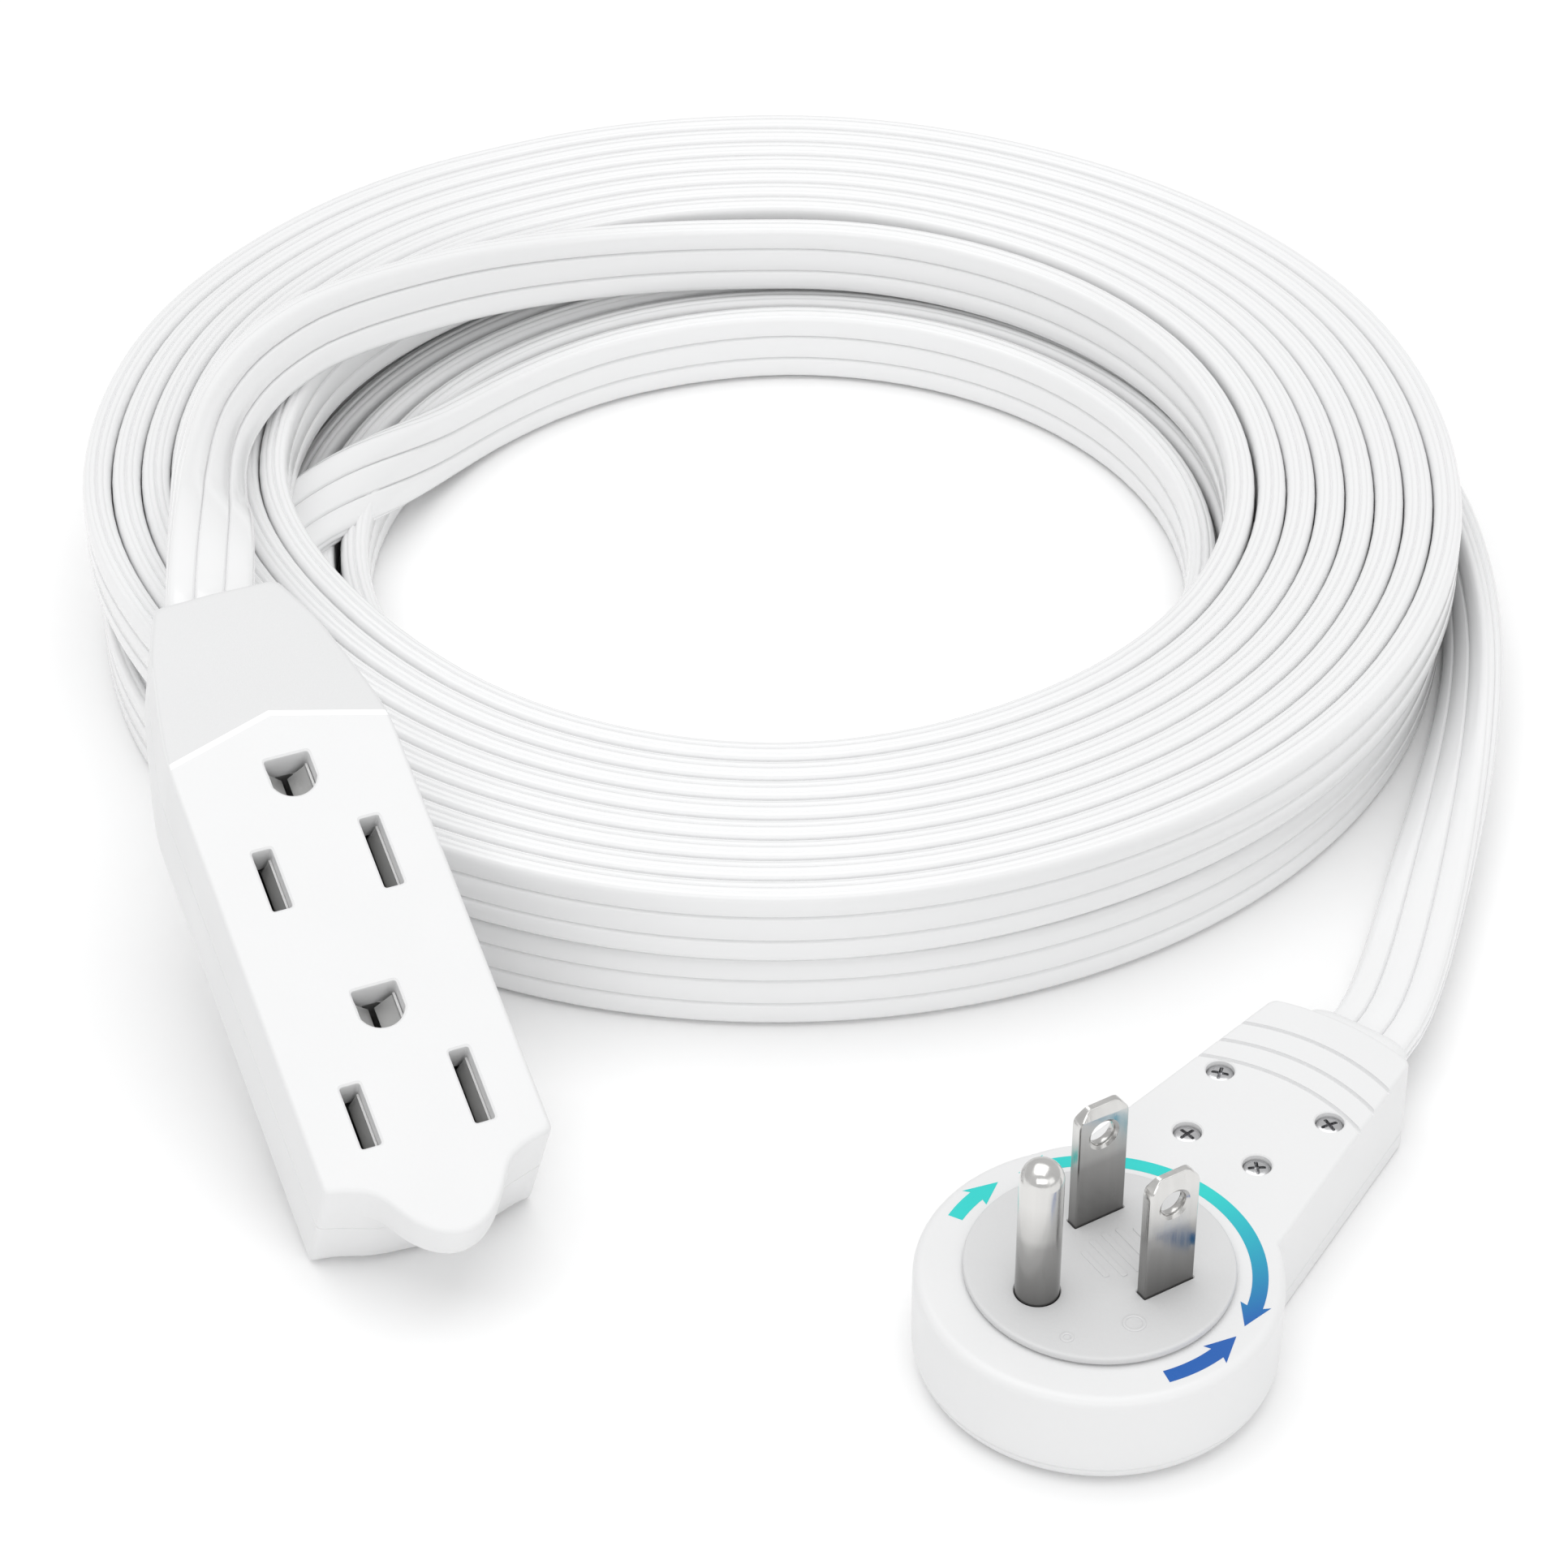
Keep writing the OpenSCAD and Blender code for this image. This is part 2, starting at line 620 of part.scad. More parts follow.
module tap_lead(x, tint) {
    route = [[x, 54.35, tap_mid, 0], [x, 55, tap_mid, 0], [x * 0.9, 57.5, tap_mid, 0],
             [x * 0.6, 60.5, tap_mid, 0], [x * 0.5, 63, tap_mid, 0],
             [x * 0.5, tail_start_y - 0.2, tap_mid, 0]];
    color(tint) on_tap() sweep(smooth_route(route, 3), round_outline(lead_r, 12));
}
module tap_hot_lead() { tap_lead(-blade_gap / 2, "#202020"); }
module tap_neutral_lead() { tap_lead(blade_gap / 2, "white"); }
module tap_ground_lead() { tap_lead(0, "seagreen"); }

// ---------- cable ----------

// Outer shape of the coil: two layers of turns standing on edge
module cord_coil() {
    color("white") translate([coil_pos[0], coil_pos[1], 0]) rotate_extrude($fn = 144) polygon([
        [coil_inner_r, 0], [coil_outer_r, 0], [coil_outer_r, 2 * cable_w + coil_layer_gap],
        [coil_upper_inner_r, 2 * cable_w + coil_layer_gap],
        [coil_upper_inner_r, cable_w], [coil_inner_r, cable_w]
    ]);
}

// Routes near the coil: angle round its centre, radius, height, roll of the cable.
// Roll 0 is flat, -90 and -270 stand on edge. The turns between are inside the coil's shape.
tap_lead_route = [
    [219.6, 86.3, 42.9, 0], [216.7, 82.6, 43.1, -5], [213.4, 79.2, 41.2, -16], [207, 76.2, 37.8, -34],
    [198.8, 73.1, 34.2, -48], [188.3, 70.8, 31.2, -56], [178.9, 69, 29.6, -61], [171.1, 66.9, 28.9, -64],
    [164.8, 64.4, 28.2, -66], [156.3, 61.6, 26.6, -69], [146, 59.4, 24.2, -73], [135, 58.3, 21.8, -78],
    [124, 57.7, 19.6, -83], [112, 57.4, 17.7, -87], [101, 57.3, 16.6, -89], [90, 57.3, 16.1, -90]
];
plug_lead_route = [
    [24, 87.1, 5.2, -270], [10, 87.4, 5.2, -268], [4, 87.9, 5.2, -262], [-5, 88.5, 5.2, -252],
    [-14, 89.7, 5.1, -240], [-23, 91.7, 4.9, -227], [-31, 94.8, 4.7, -213], [-38, 99, 4.6, -200],
    [-44, 104.1, 4.7, -190], [-48.5, 109, 5.1, -185], [-51.6, 112.7, 5.7, -182]
];

module cable_run(pts) { color("white") sweep(pts, cable_outline()); }

module cord_tap_lead() {
    cable_run(smooth_route(concat(
        [tap_point(tap_l + 1.2, tap_mid, 0)],
        [for (p = tap_lead_route) coil_point(p)]), 2));
}
module cord_plug_lead() {
    cable_run(smooth_route(concat(
        [for (p = plug_lead_route) coil_point(p)],
        [plug_point(boot_end_x + 3, cord_z - 0.1, -181), plug_point(boot_end_x, cord_z, -180)]), 2));
}

// ---------- nodes ----------

plug_base();
plug_cover();
plug_screws();
plug_boot();
plug_cord_tail();
plug_clamp();
ring_carrier();
neutral_ring();
hot_ring();
ground_contact();
plug_hot_lead();
plug_neutral_lead();
plug_ground_lead();
rotor_disc();
rotor_back();
rotor_rivets();
hot_blade();
neutral_blade();
ground_pin();
hot_wiper();
neutral_wiper();
ground_wiper();
tap_upper_shell();
tap_lower_shell();
tap_dividers();
tap_screws();
tap_boot();
tap_cord_tail();
tap_clamp();
tap_hot_bus();
tap_neutral_bus();
tap_ground_bus();
tap_hot_lead();
tap_neutral_lead();
tap_ground_lead();
cord_coil();
cord_tap_lead();
cord_plug_lead();
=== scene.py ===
"""Flat indoor extension cord: rotating right-angle plug, coiled flat cable and three-outlet tap.

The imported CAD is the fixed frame. Shapes are worked out in millimetres in each group's own
frame (plug, rotor, tap) and then set down in the shared frame, in metres.
"""

import math

import bmesh
import bpy
import numpy as np
from mathutils import Matrix, Vector


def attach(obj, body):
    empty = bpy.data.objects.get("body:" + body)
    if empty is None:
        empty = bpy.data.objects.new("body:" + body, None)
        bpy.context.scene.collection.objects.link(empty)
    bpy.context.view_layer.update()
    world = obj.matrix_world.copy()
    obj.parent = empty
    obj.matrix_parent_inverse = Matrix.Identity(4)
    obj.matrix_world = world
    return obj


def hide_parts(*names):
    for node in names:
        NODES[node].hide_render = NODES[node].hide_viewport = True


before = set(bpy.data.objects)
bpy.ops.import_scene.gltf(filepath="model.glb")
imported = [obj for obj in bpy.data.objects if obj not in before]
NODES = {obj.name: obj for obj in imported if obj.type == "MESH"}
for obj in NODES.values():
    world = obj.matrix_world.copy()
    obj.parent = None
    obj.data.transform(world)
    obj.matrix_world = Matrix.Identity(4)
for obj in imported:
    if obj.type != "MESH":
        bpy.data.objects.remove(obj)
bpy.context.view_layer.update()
MM = 0.001

# ---------------------------------------------------------------- sizes, as in the CAD (mm)
CABLE_W, CABLE_T = 10.2, 3.6
COIL_POS = (1.1, 107.6)
PLUG_POS, PLUG_ANGLE, ROTOR_ANGLE = (34.9, -31.4), 53.0, 32.0
TAP_POS, TAP_YAW, TAP_TILT = (-38.3, -12.4), 113.5, 25.0
PLUG_R, PLUG_H, PLUG_BASE_H, COVER_TOP = 19.7, 12.4, 2.4, 1.8
CORD_Z = 6.2
TAP_W, TAP_L, TAP_T, TAP_WALL, TAP_END_W = 26.0, 75.3, 19.0, 1.6, 14.6
TAP_MID = TAP_T / 2
BLADE_GAP, PIN_OFFSET, BLADE_P = 12.7, 11.9, 3.9
DISC_TOP, BLADE_LENGTH, PIN_LENGTH, PIN_R = 13.5, 15.9, 18.1, 2.38
SLOT_W, HOT_SLOT_L, NEUTRAL_SLOT_L = 2.2, 7.4, 8.8
OUTLET_Y, BACK_OUTLET_Y = (7.5, 37.1), 22.0
SCREW_PLACES = ((34.4, 7.1), (34.4, -7.1), (23.8, 4.5), (23.8, -4.5))
GROOVE_PLACES, GROOVE_R = (35.0, 38.4, 42.1), 24.0
TAP_POSTS = ((-9.9, 14.4), (9.9, 14.4), (-9.9, 46.0), (9.9, 46.0))


def spin(axis, degrees):
    return Matrix.Rotation(math.radians(degrees), 4, axis)


SCALE = Matrix.Scale(MM, 4)
ON_PLUG = SCALE @ Matrix.Translation((*PLUG_POS, 0)) @ spin("Z", PLUG_ANGLE)
ON_ROTOR = SCALE @ Matrix.Translation((*PLUG_POS, 0)) @ spin("Z", ROTOR_ANGLE)
ON_TAP = SCALE @ Matrix.Translation((*TAP_POS, 0)) @ spin("Z", TAP_YAW - 90) @ spin("X", TAP_TILT)

# ---------------------------------------------------------------- camera
cam_data = bpy.data.cameras.new("camera")
cam_data.lens, cam_data.sensor_width = 109.94, 36.0
cam_data.clip_start, cam_data.clip_end = 0.01, 20.0
camera = bpy.data.objects.new("camera", cam_data)
camera.location = (0.00165, -0.3974, 0.364)
camera.rotation_euler = (math.radians(51.94), 0, 0)
bpy.context.scene.collection.objects.link(camera)
bpy.context.scene.camera = camera


# ---------------------------------------------------------------- mesh helpers
def new_object(name, verts, faces):
    mesh = bpy.data.meshes.new(name)
    mesh.from_pydata([tuple(v) for v in verts], [], faces)
    mesh.validate()
    obj = bpy.data.objects.new(name, mesh)
    bpy.context.scene.collection.objects.link(obj)
    return obj


def loft(name, rings):
    """A closed solid through rings of equally many points, counter-clockwise seen from the last ring."""
    n, verts, faces = len(rings[0]), [], []
    for ring in rings:
        verts.extend(ring)
    for i in range(len(rings) - 1):
        for j in range(n):
            k = (j + 1) % n
            faces.append((i * n + j, i * n + k, (i + 1) * n + k, (i + 1) * n + j))
    faces.append(tuple(reversed(range(n))))
    last = (len(rings) - 1) * n
    faces.append(tuple(last + j for j in range(n)))
    return new_object(name, verts, faces)


def at_height(outline, z):
    """The outline's points as a ring at height z."""
    return [(p[0], p[1], z) for p in outline]


def prism(name, outline_of, levels):
    """A solid whose outline at each level is outline_of(inset); levels are (z, inset)."""
    return loft(name, [at_height(outline_of(d), z) for z, d in levels])


def lathe(name, profile, n=96, centre=(0, 0)):
    """A closed solid of revolution about Z from (radius, z) pairs, first and last of them on a cap."""
    turn = [(math.cos(2 * math.pi * j / n), math.sin(2 * math.pi * j / n)) for j in range(n)]
    return loft(name, [[(centre[0] + r * c, centre[1] + r * s, z) for c, s in turn] for r, z in profile])


def fix_normals(obj):
    """Turns every face outwards."""
    bm = bmesh.new()
    bm.from_mesh(obj.data)
    bmesh.ops.recalc_face_normals(bm, faces=bm.faces)
    bm.to_mesh(obj.data)
    bm.free()
    return obj


def joined(objs):
    """One object out of several; their own meshes are used up."""
    bm = bmesh.new()
    for o in objs:
        bm.from_mesh(o.data)
    mesh = bpy.data.meshes.new(objs[0].name)
    bm.to_mesh(mesh)
    bm.free()
    for o in objs[1:]:
        bpy.data.objects.remove(o)
    objs[0].data = mesh
    return objs[0]


def settled(obj):
    """Applies the modifiers."""
    mesh = bpy.data.meshes.new_from_object(obj.evaluated_get(bpy.context.evaluated_depsgraph_get()))
    obj.modifiers.clear()
    obj.data = mesh
    return obj


def carve(obj, cutters, operation="DIFFERENCE"):
    """Takes the cutters out of obj, or adds them to it, one after another."""
    for c in cutters:
        m = obj.modifiers.new("cut", "BOOLEAN")
        m.operation, m.solver, m.object = operation, "EXACT", c
        m.material_mode = "TRANSFER"
    bpy.context.view_layer.update()
    settled(obj)
    for c in cutters:
        bpy.data.objects.remove(c)
    return obj


def finished(obj, placement, body, slot, *materials, sharp=32.0, weighted=True):
    """Sets a piece down in the shared frame, shades it and lets it ride."""
    obj.data.transform(placement)
    for p in obj.data.polygons:
        p.use_smooth = True
    obj.data.set_sharp_from_angle(angle=math.radians(sharp))
    if weighted:
        m = obj.modifiers.new("normals", "WEIGHTED_NORMAL")
        m.keep_sharp, m.weight = True, 60
    if materials:
        kept = len(obj.data.materials)
        for i, mat in enumerate(materials):
            if i < kept:
                obj.data.materials[i] = mat
            else:
                obj.data.materials.append(mat)
    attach(obj, body)
    return obj


def rounded(points, radii, steps=5):
    """The outline again, with a short curve in place of each corner that has a radius."""
    out, n = [], len(points)
    for i, p in enumerate(points):
        if radii[i] <= 0:
            out.append(tuple(p))
            continue
        p, a, b = np.array(p), np.array(points[i - 1]), np.array(points[(i + 1) % n])
        start = p + (a - p) / np.linalg.norm(a - p) * radii[i]
        end = p + (b - p) / np.linalg.norm(b - p) * radii[i]
        for k in range(steps + 1):
            t = k / steps
            out.append(tuple((1 - t) ** 2 * start + 2 * t * (1 - t) * p + t * t * end))
    return out


def port_outline(half_w, half_h, corner, steps):
    """A rounded rectangle round the origin; corner is a share of the half sizes."""
    square = rounded([(-1, -1), (1, -1), (1, 1), (-1, 1)], [corner] * 4, steps)
    return [(u * half_w, v * half_h) for u, v in square]


def rounded_box_outline(x0, y0, x1, y1, r, steps=4):
    """outline_of(inset) for a rounded rectangle; a negative inset makes it larger."""
    def outline_of(d):
        return rounded([(x0 + d, y0 + d), (x1 - d, y0 + d), (x1 - d, y1 - d), (x0 + d, y1 - d)],
                       [max(0.02, r - d)] * 4, steps)
    return outline_of


def catmull(a, b, c, d, t):
    """The point at t between b and c on a smooth curve through all four."""
    return tuple(
        0.5 * (2 * q + (r - p) * t + (2 * p - 5 * q + 4 * r - s) * t * t + (3 * q - p - 3 * r + s) * t ** 3)
        for p, q, r, s in zip(a, b, c, d)
    )


def smooth(pts, steps):
    """A smooth curve through the points, with steps points for each stretch."""
    out, last = [], len(pts) - 1
    for i in range(last):
        for s in range(steps):
            out.append(catmull(pts[max(i - 1, 0)], pts[i], pts[i + 1], pts[min(i + 2, last)], s / steps))
    return out + [tuple(pts[-1])]


# ---------------------------------------------------------------- the cable's route (mm, roll in degrees)
def plug_point(x, z, roll):
    """A route point from a place in the plug's frame."""
    a = math.radians(PLUG_ANGLE)
    return (PLUG_POS[0] + x * math.cos(a), PLUG_POS[1] + x * math.sin(a), z, roll)


def tap_point(y, z, roll):
    """A route point from a place in the tap's frame."""
    a, t = math.radians(TAP_YAW), math.radians(TAP_TILT)
    u = y * math.cos(t) - z * math.sin(t)
    return (TAP_POS[0] + math.cos(a) * u, TAP_POS[1] + math.sin(a) * u,
            y * math.sin(t) + z * math.cos(t), roll)


def coil_point(p):
    """A route point from its angle round the coil, radius, height and roll."""
    a = math.radians(p[0])
    return (COIL_POS[0] + p[1] * math.cos(a), COIL_POS[1] + p[1] * math.sin(a), p[2], p[3])


# Points near the coil: angle round its centre, radius, height, roll. Roll 0 is flat.
TAP_LEAD = (
    (219.6, 86.3, 42.9, -2), (216.7, 82.6, 43.1, -9), (213.4, 79.2, 41.2, -19), (207, 76.2, 37.8, -32),
    (198.8, 73.1, 34.2, -45), (188.3, 70.8, 31.2, -56), (178.9, 69, 29.6, -61), (171.1, 66.9, 28.9, -64),
    (164.8, 64.4, 28.2, -66), (156.3, 61.6, 26.6, -69), (146, 59.4, 24.2, -73), (135, 58.3, 21.8, -78),
    (124, 57.7, 19.6, -83), (112, 57.4, 17.7, -87), (101, 57.3, 16.6, -89), (90, 57.3, 16.1, -90),
)
# Between the layers, under the upper one, which rides up over it there
CROSSOVER = (
    (238, 85.6, 15.7, -90), (233.5, 87.0, 14.8, -83), (229, 87.8, 13.7, -66), (223, 87.0, 12.7, -38),
    (216, 84.1, 12.2, -14), (208, 79.6, 12.1, -3), (200, 74.4, 12.1, 0), (192, 68.9, 12.1, -2),
    (184, 63.6, 12.0, -10), (176.5, 59.0, 11.4, -27), (169, 55.4, 10.2, -50), (161, 53.1, 8.4, -71),
    (153, 52.0, 6.7, -84), (144, 51.7, 5.6, -89), (134, 51.8, 5.2, -90), (115, 52.1, 5.2, -90),
    (95, 52.4, 5.2, -90),
)
PLUG_LEAD = (
    (10, 87.4, 5.2, -88), (4, 87.9, 5.2, -82), (-5, 88.5, 5.2, -72), (-14, 89.7, 5.1, -60),
    (-23, 91.7, 4.9, -47), (-31, 94.8, 4.7, -33), (-38, 99, 4.6, -20), (-44, 104.1, 4.7, -10),
    (-48.5, 109, 5.1, -5), (-51.6, 112.7, 5.7, -2),
)
# Each layer: degrees wound, direction it starts in, first radius and pitch
UPPER_TURN, UPPER_FROM, UPPER_R, UPPER_PITCH = 2732.0, 90, 57.3, 3.68
LOWER_TURN, LOWER_FROM, LOWER_R, LOWER_PITCH = 2965.0, 95, 52.4, 4.24
LOWER_SWAY, LOWER_Z = 0.9, 5.2
ROUTE_STEP = 3.5
MIN_BEND, EASE_ROUNDS, EASE = 44.0, 400, 0.3
# By direction: how far the upper layer stands out from a true spiral, and its middle's height
SLACK = ((0, 0.7), (30, 1.4), (60, 1.4), (90, 2.3), (110, 2.4), (130, 3.1), (150, 3.7), (170, 4.0),
         (185, 4.2), (215, 2.6), (240, 0.6), (270, 0.8), (300, 0.3), (330, 0.5), (360, 0.7))
LIFT = ((0, 16.0), (60, 16.0), (90, 16.2), (115, 16.6), (140, 17.6), (165, 18.9), (185, 19.2), (212, 19.2),
        (241, 16.0), (270, 15.8), (300, 16.0), (360, 16.0))


def by_direction(table, angle):
    """A smooth value between the table's rows for a direction round the coil."""
    angle %= 360
    for (a, x), (b, y) in zip(table, table[1:]):
        if a <= angle <= b:
            t = (angle - a) / (b - a)
            return x + (y - x) * t * t * (3 - 2 * t)
    return table[0][1]


def upper_radius(turn):
    """Radius of the upper layer's line after turn degrees."""
    slack = by_direction(SLACK, UPPER_FROM - turn) * min(1, turn / 150)
    return UPPER_R + UPPER_PITCH * turn / 360 + slack


def lower_radius(turn):
    """Radius of the lower layer's line after turn degrees."""
    sway = LOWER_SWAY * math.cos(math.radians(LOWER_FROM - turn)) * (1 - turn / LOWER_TURN)
    return LOWER_R + LOWER_PITCH * turn / 360 + sway


def cable_route():
    """Points down the middle of the whole cable, about evenly spaced, with its roll."""
    pts = smooth([tap_point(73.5, TAP_MID, 0), tap_point(76.5, TAP_MID, 0)]
                 + [coil_point(p) for p in TAP_LEAD], 6)[:-1]
    pts += [coil_point((UPPER_FROM - a, upper_radius(a), by_direction(LIFT, UPPER_FROM - a), -90))
            for a in np.arange(0, UPPER_TURN - 1, 3)]
    pts += smooth([coil_point(p) for p in CROSSOVER], 6)[:-1]
    pts += [coil_point((LOWER_FROM - a, lower_radius(a), LOWER_Z, -90))
            for a in np.arange(0, LOWER_TURN - 1, 3)]
    pts += smooth([coil_point(p) for p in PLUG_LEAD]
                  + [plug_point(57, 6.1, -1), plug_point(54, CORD_Z, 0), plug_point(51, CORD_Z, 0)], 6)
    pts = np.array(pts)
    for _ in range(2):  # evens out the spacing and softens the joins
        lengths = np.linalg.norm(np.diff(pts[:, :3], axis=0), axis=1)
        along = np.concatenate([[0], np.cumsum(lengths)])
        keep = np.concatenate([[True], np.diff(along) > 1e-6])
        s = np.linspace(0, along[-1], int(along[-1] / ROUTE_STEP) + 1)
        pts = np.stack([np.interp(s, along[keep], pts[keep, k]) for k in range(4)], axis=1)
        pts[1:-1] = (pts[:-2] + 2 * pts[1:-1] + pts[2:]) / 4
    most_sag = ROUTE_STEP * ROUTE_STEP / (2 * MIN_BEND)
    for _ in range(EASE_ROUNDS):  # eases out every bend that a cable this stiff would not take
        sag = (pts[:-2] + pts[2:]) / 2 - pts[1:-1]
        tight = np.linalg.norm(sag[:, :3], axis=1) > most_sag
        if not tight.any():
            break
        tight = np.convolve(tight, np.ones(5), "same") > 0
        tight[:1] = tight[-4:] = False
        pts[1:-1][tight] += EASE * sag[tight]
    return pts


# The cable's section: one quarter, from the edge's middle to the wide face's middle. Three
# lobes with shallow grooves on the wide faces, a bead and a shoulder line on the edges. It is
# drawn for a cable of DRAWN_W by DRAWN_T.
DRAWN_W, DRAWN_T = 10.2, 3.6
QUARTER = (
    (4.76, 0), (4.9, 0.12), (5.07, 0.22), (5.1, 0.36), (5.07, 0.64), (4.99, 0.8), (4.84, 0.9),
    (4.84, 1.0), (4.86, 1.12), (4.7, 1.4), (4.35, 1.63), (3.85, 1.76), (2.95, 1.8), (2.08, 1.79),
    (1.93, 1.72), (1.72, 1.3), (1.51, 1.72), (1.36, 1.79), (0, 1.8),
)


def cable_section():
    """The whole section out of its quarter."""
    q = [(u * CABLE_W / DRAWN_W, v * CABLE_T / DRAWN_T) for u, v in QUARTER]
    top = q + [(-u, v) for u, v in reversed(q[1:-1])]
    return top + [(-u, -v) for u, v in top]


def cable_mesh(name, pts):
    """The section swept along the route, and the line down its middle in metres."""
    centres = pts[:, :3] * MM
    tangent = np.gradient(centres, axis=0)
    tangent /= np.linalg.norm(tangent, axis=1)[:, None]
    side = np.cross(tangent, [0, 0, 1.0])
    side /= np.linalg.norm(side, axis=1)[:, None]
    up = np.cross(side, tangent)
    roll = np.radians(pts[:, 3])[:, None]
    wide = np.cos(roll) * side + np.sin(roll) * up
    thick = np.cos(roll) * up - np.sin(roll) * side
    section = np.array(cable_section()) * MM
    rings = centres[:, None] + section[None, :, :1] * wide[:, None] + section[None, :, 1:] * thick[:, None]
    return fix_normals(loft(name, [r.tolist() for r in rings])), centres


cable, cable_line = cable_mesh("cable", cable_route())


# ---------------------------------------------------------------- materials
PLASTIC_IOR = 1.46
BUMP_DEPTH = 0.00005  # metres


def material(name, colour, roughness, metallic=0.0, coat=0.0, coat_roughness=0.1, tint=0.0, mottle=0.0,
             mottle_scale=90.0, grain=0.0, grain_scale=2500.0, stretch=(1, 1, 1)):
    """A moulded or metal surface: fine bump grain, uneven gloss and a slight shift of colour."""
    mat = bpy.data.materials.new(name)
    mat.use_nodes = True
    nt = mat.node_tree
    nt.nodes.clear()
    out = nt.nodes.new("ShaderNodeOutputMaterial")
    bsdf = nt.nodes.new("ShaderNodeBsdfPrincipled")
    nt.links.new(bsdf.outputs[0], out.inputs[0])
    bsdf.inputs["Base Color"].default_value = (*colour, 1)
    bsdf.inputs["Roughness"].default_value = roughness
    bsdf.inputs["Metallic"].default_value = metallic
    bsdf.inputs["IOR"].default_value = PLASTIC_IOR
    bsdf.inputs["Coat Weight"].default_value = coat
    bsdf.inputs["Coat Roughness"].default_value = coat_roughness
    coords = nt.nodes.new("ShaderNodeTexCoord")
    mapping = nt.nodes.new("ShaderNodeMapping")
    mapping.inputs["Scale"].default_value = stretch
    nt.links.new(coords.outputs["Object"], mapping.inputs["Vector"])

    def noise(scale, detail=3.0):
        node = nt.nodes.new("ShaderNodeTexNoise")
        node.inputs["Scale"].default_value = scale
        node.inputs["Detail"].default_value = detail
        nt.links.new(mapping.outputs[0], node.inputs["Vector"])
        return node.outputs["Fac"]

    if mottle:
        spread = nt.nodes.new("ShaderNodeMapRange")
        spread.inputs["From Min"].default_value, spread.inputs["From Max"].default_value = 0.3, 0.7
        spread.inputs["To Min"].default_value = max(0.02, roughness - mottle)
        spread.inputs["To Max"].default_value = min(1.0, roughness + mottle)
        nt.links.new(noise(mottle_scale), spread.inputs["Value"])
        nt.links.new(spread.outputs[0], bsdf.inputs["Roughness"])
    if tint:
        mix = nt.nodes.new("ShaderNodeMix")
        mix.data_type = "RGBA"
        mix.inputs[6].default_value = (*[c * (1 - tint) for c in colour], 1)
        mix.inputs[7].default_value = (*[min(1, c * (1 + tint)) for c in colour], 1)
        nt.links.new(noise(mottle_scale * 0.6, 2.0), mix.inputs[0])
        nt.links.new(mix.outputs[2], bsdf.inputs["Base Color"])
    if grain:
        bump = nt.nodes.new("ShaderNodeBump")
        bump.inputs["Strength"].default_value = grain
        bump.inputs["Distance"].default_value = BUMP_DEPTH
        nt.links.new(noise(grain_scale, 4.0), bump.inputs["Height"])
        nt.links.new(bump.outputs[0], bsdf.inputs["Normal"])
    return mat


M_SHELL = material("moulded_white", (0.785, 0.787, 0.79), 0.36, tint=0.012, mottle=0.06, grain=0.3,
                   grain_scale=2600)
# Painted shade: the sloping end is the shell's own plastic, given a darker copy of its white and a stronger
# grain.
M_SLOPE_SHADE = material("textured_white_painted_shade", (0.715, 0.717, 0.72), 0.5, tint=0.01, mottle=0.04, grain=0.6,
                   grain_scale=4200)
# Painted highlight: a brighter copy of the shell's white for the band along the ridge.
M_RIDGE_HIGHLIGHT = material("ridge_painted_highlight", (0.93, 0.932, 0.935), 0.3, tint=0.01, mottle=0.03, grain=0.2,
                   grain_scale=2600)
M_DISC = material("rotor_white", (0.66, 0.662, 0.665), 0.42, tint=0.015, mottle=0.05, grain=0.5,
                  grain_scale=3200)
M_CABLE = material("cable_pvc", (0.845, 0.847, 0.85), 0.24, coat=0.35, coat_roughness=0.08, tint=0.008,
                   mottle=0.03, mottle_scale=60, grain=0.05, grain_scale=700)
M_COLLAR = material("collar_pvc", (0.83, 0.832, 0.835), 0.42, tint=0.012, mottle=0.06, grain=0.3,
                    grain_scale=1800)
M_INNER = material("inner_wall", (0.62, 0.62, 0.622), 0.5, tint=0.1, mottle=0.1, grain=0.4)
M_GREY = material("grey_nylon", (0.55, 0.55, 0.55), 0.5, tint=0.05, mottle=0.08, grain=0.3)
M_IVORY = material("ivory_nylon", (0.70, 0.66, 0.55), 0.45, tint=0.04, mottle=0.08, grain=0.3)
# The strong tint, stretched along the prongs' length, paints streaks of lighter and darker metal: partly
# polish streaks, partly painted reflection bands.
M_PRONG = material("plated_prong", (0.52, 0.515, 0.505), 0.2, metallic=1.0, tint=0.16, mottle=0.08,
                   mottle_scale=160, grain=0.2, grain_scale=900, stretch=(6, 6, 0.35))
M_STEEL = material("screw_steel", (0.62, 0.62, 0.63), 0.22, metallic=1.0, tint=0.06, mottle=0.08,
                   mottle_scale=500, grain=0.2, grain_scale=3000)
M_BRASS = material("contact_brass", (0.50, 0.46, 0.36), 0.30, metallic=1.0, tint=0.06, mottle=0.1,
                   mottle_scale=300, grain=0.15, grain_scale=2000)
M_LEAF = material("contact_leaf", (0.62, 0.62, 0.615), 0.42, metallic=0.65, tint=0.05, mottle=0.08,
                  mottle_scale=300, grain=0.15, grain_scale=2000)
M_BLACK = material("lead_black", (0.02, 0.02, 0.021), 0.4, tint=0.1, mottle=0.08, grain=0.2)
M_LEAD_WHITE = material("lead_white", (0.78, 0.78, 0.76), 0.4, tint=0.02, mottle=0.08, grain=0.2)
M_GREEN = material("lead_green", (0.03, 0.22, 0.07), 0.4, tint=0.06, mottle=0.08, grain=0.2)


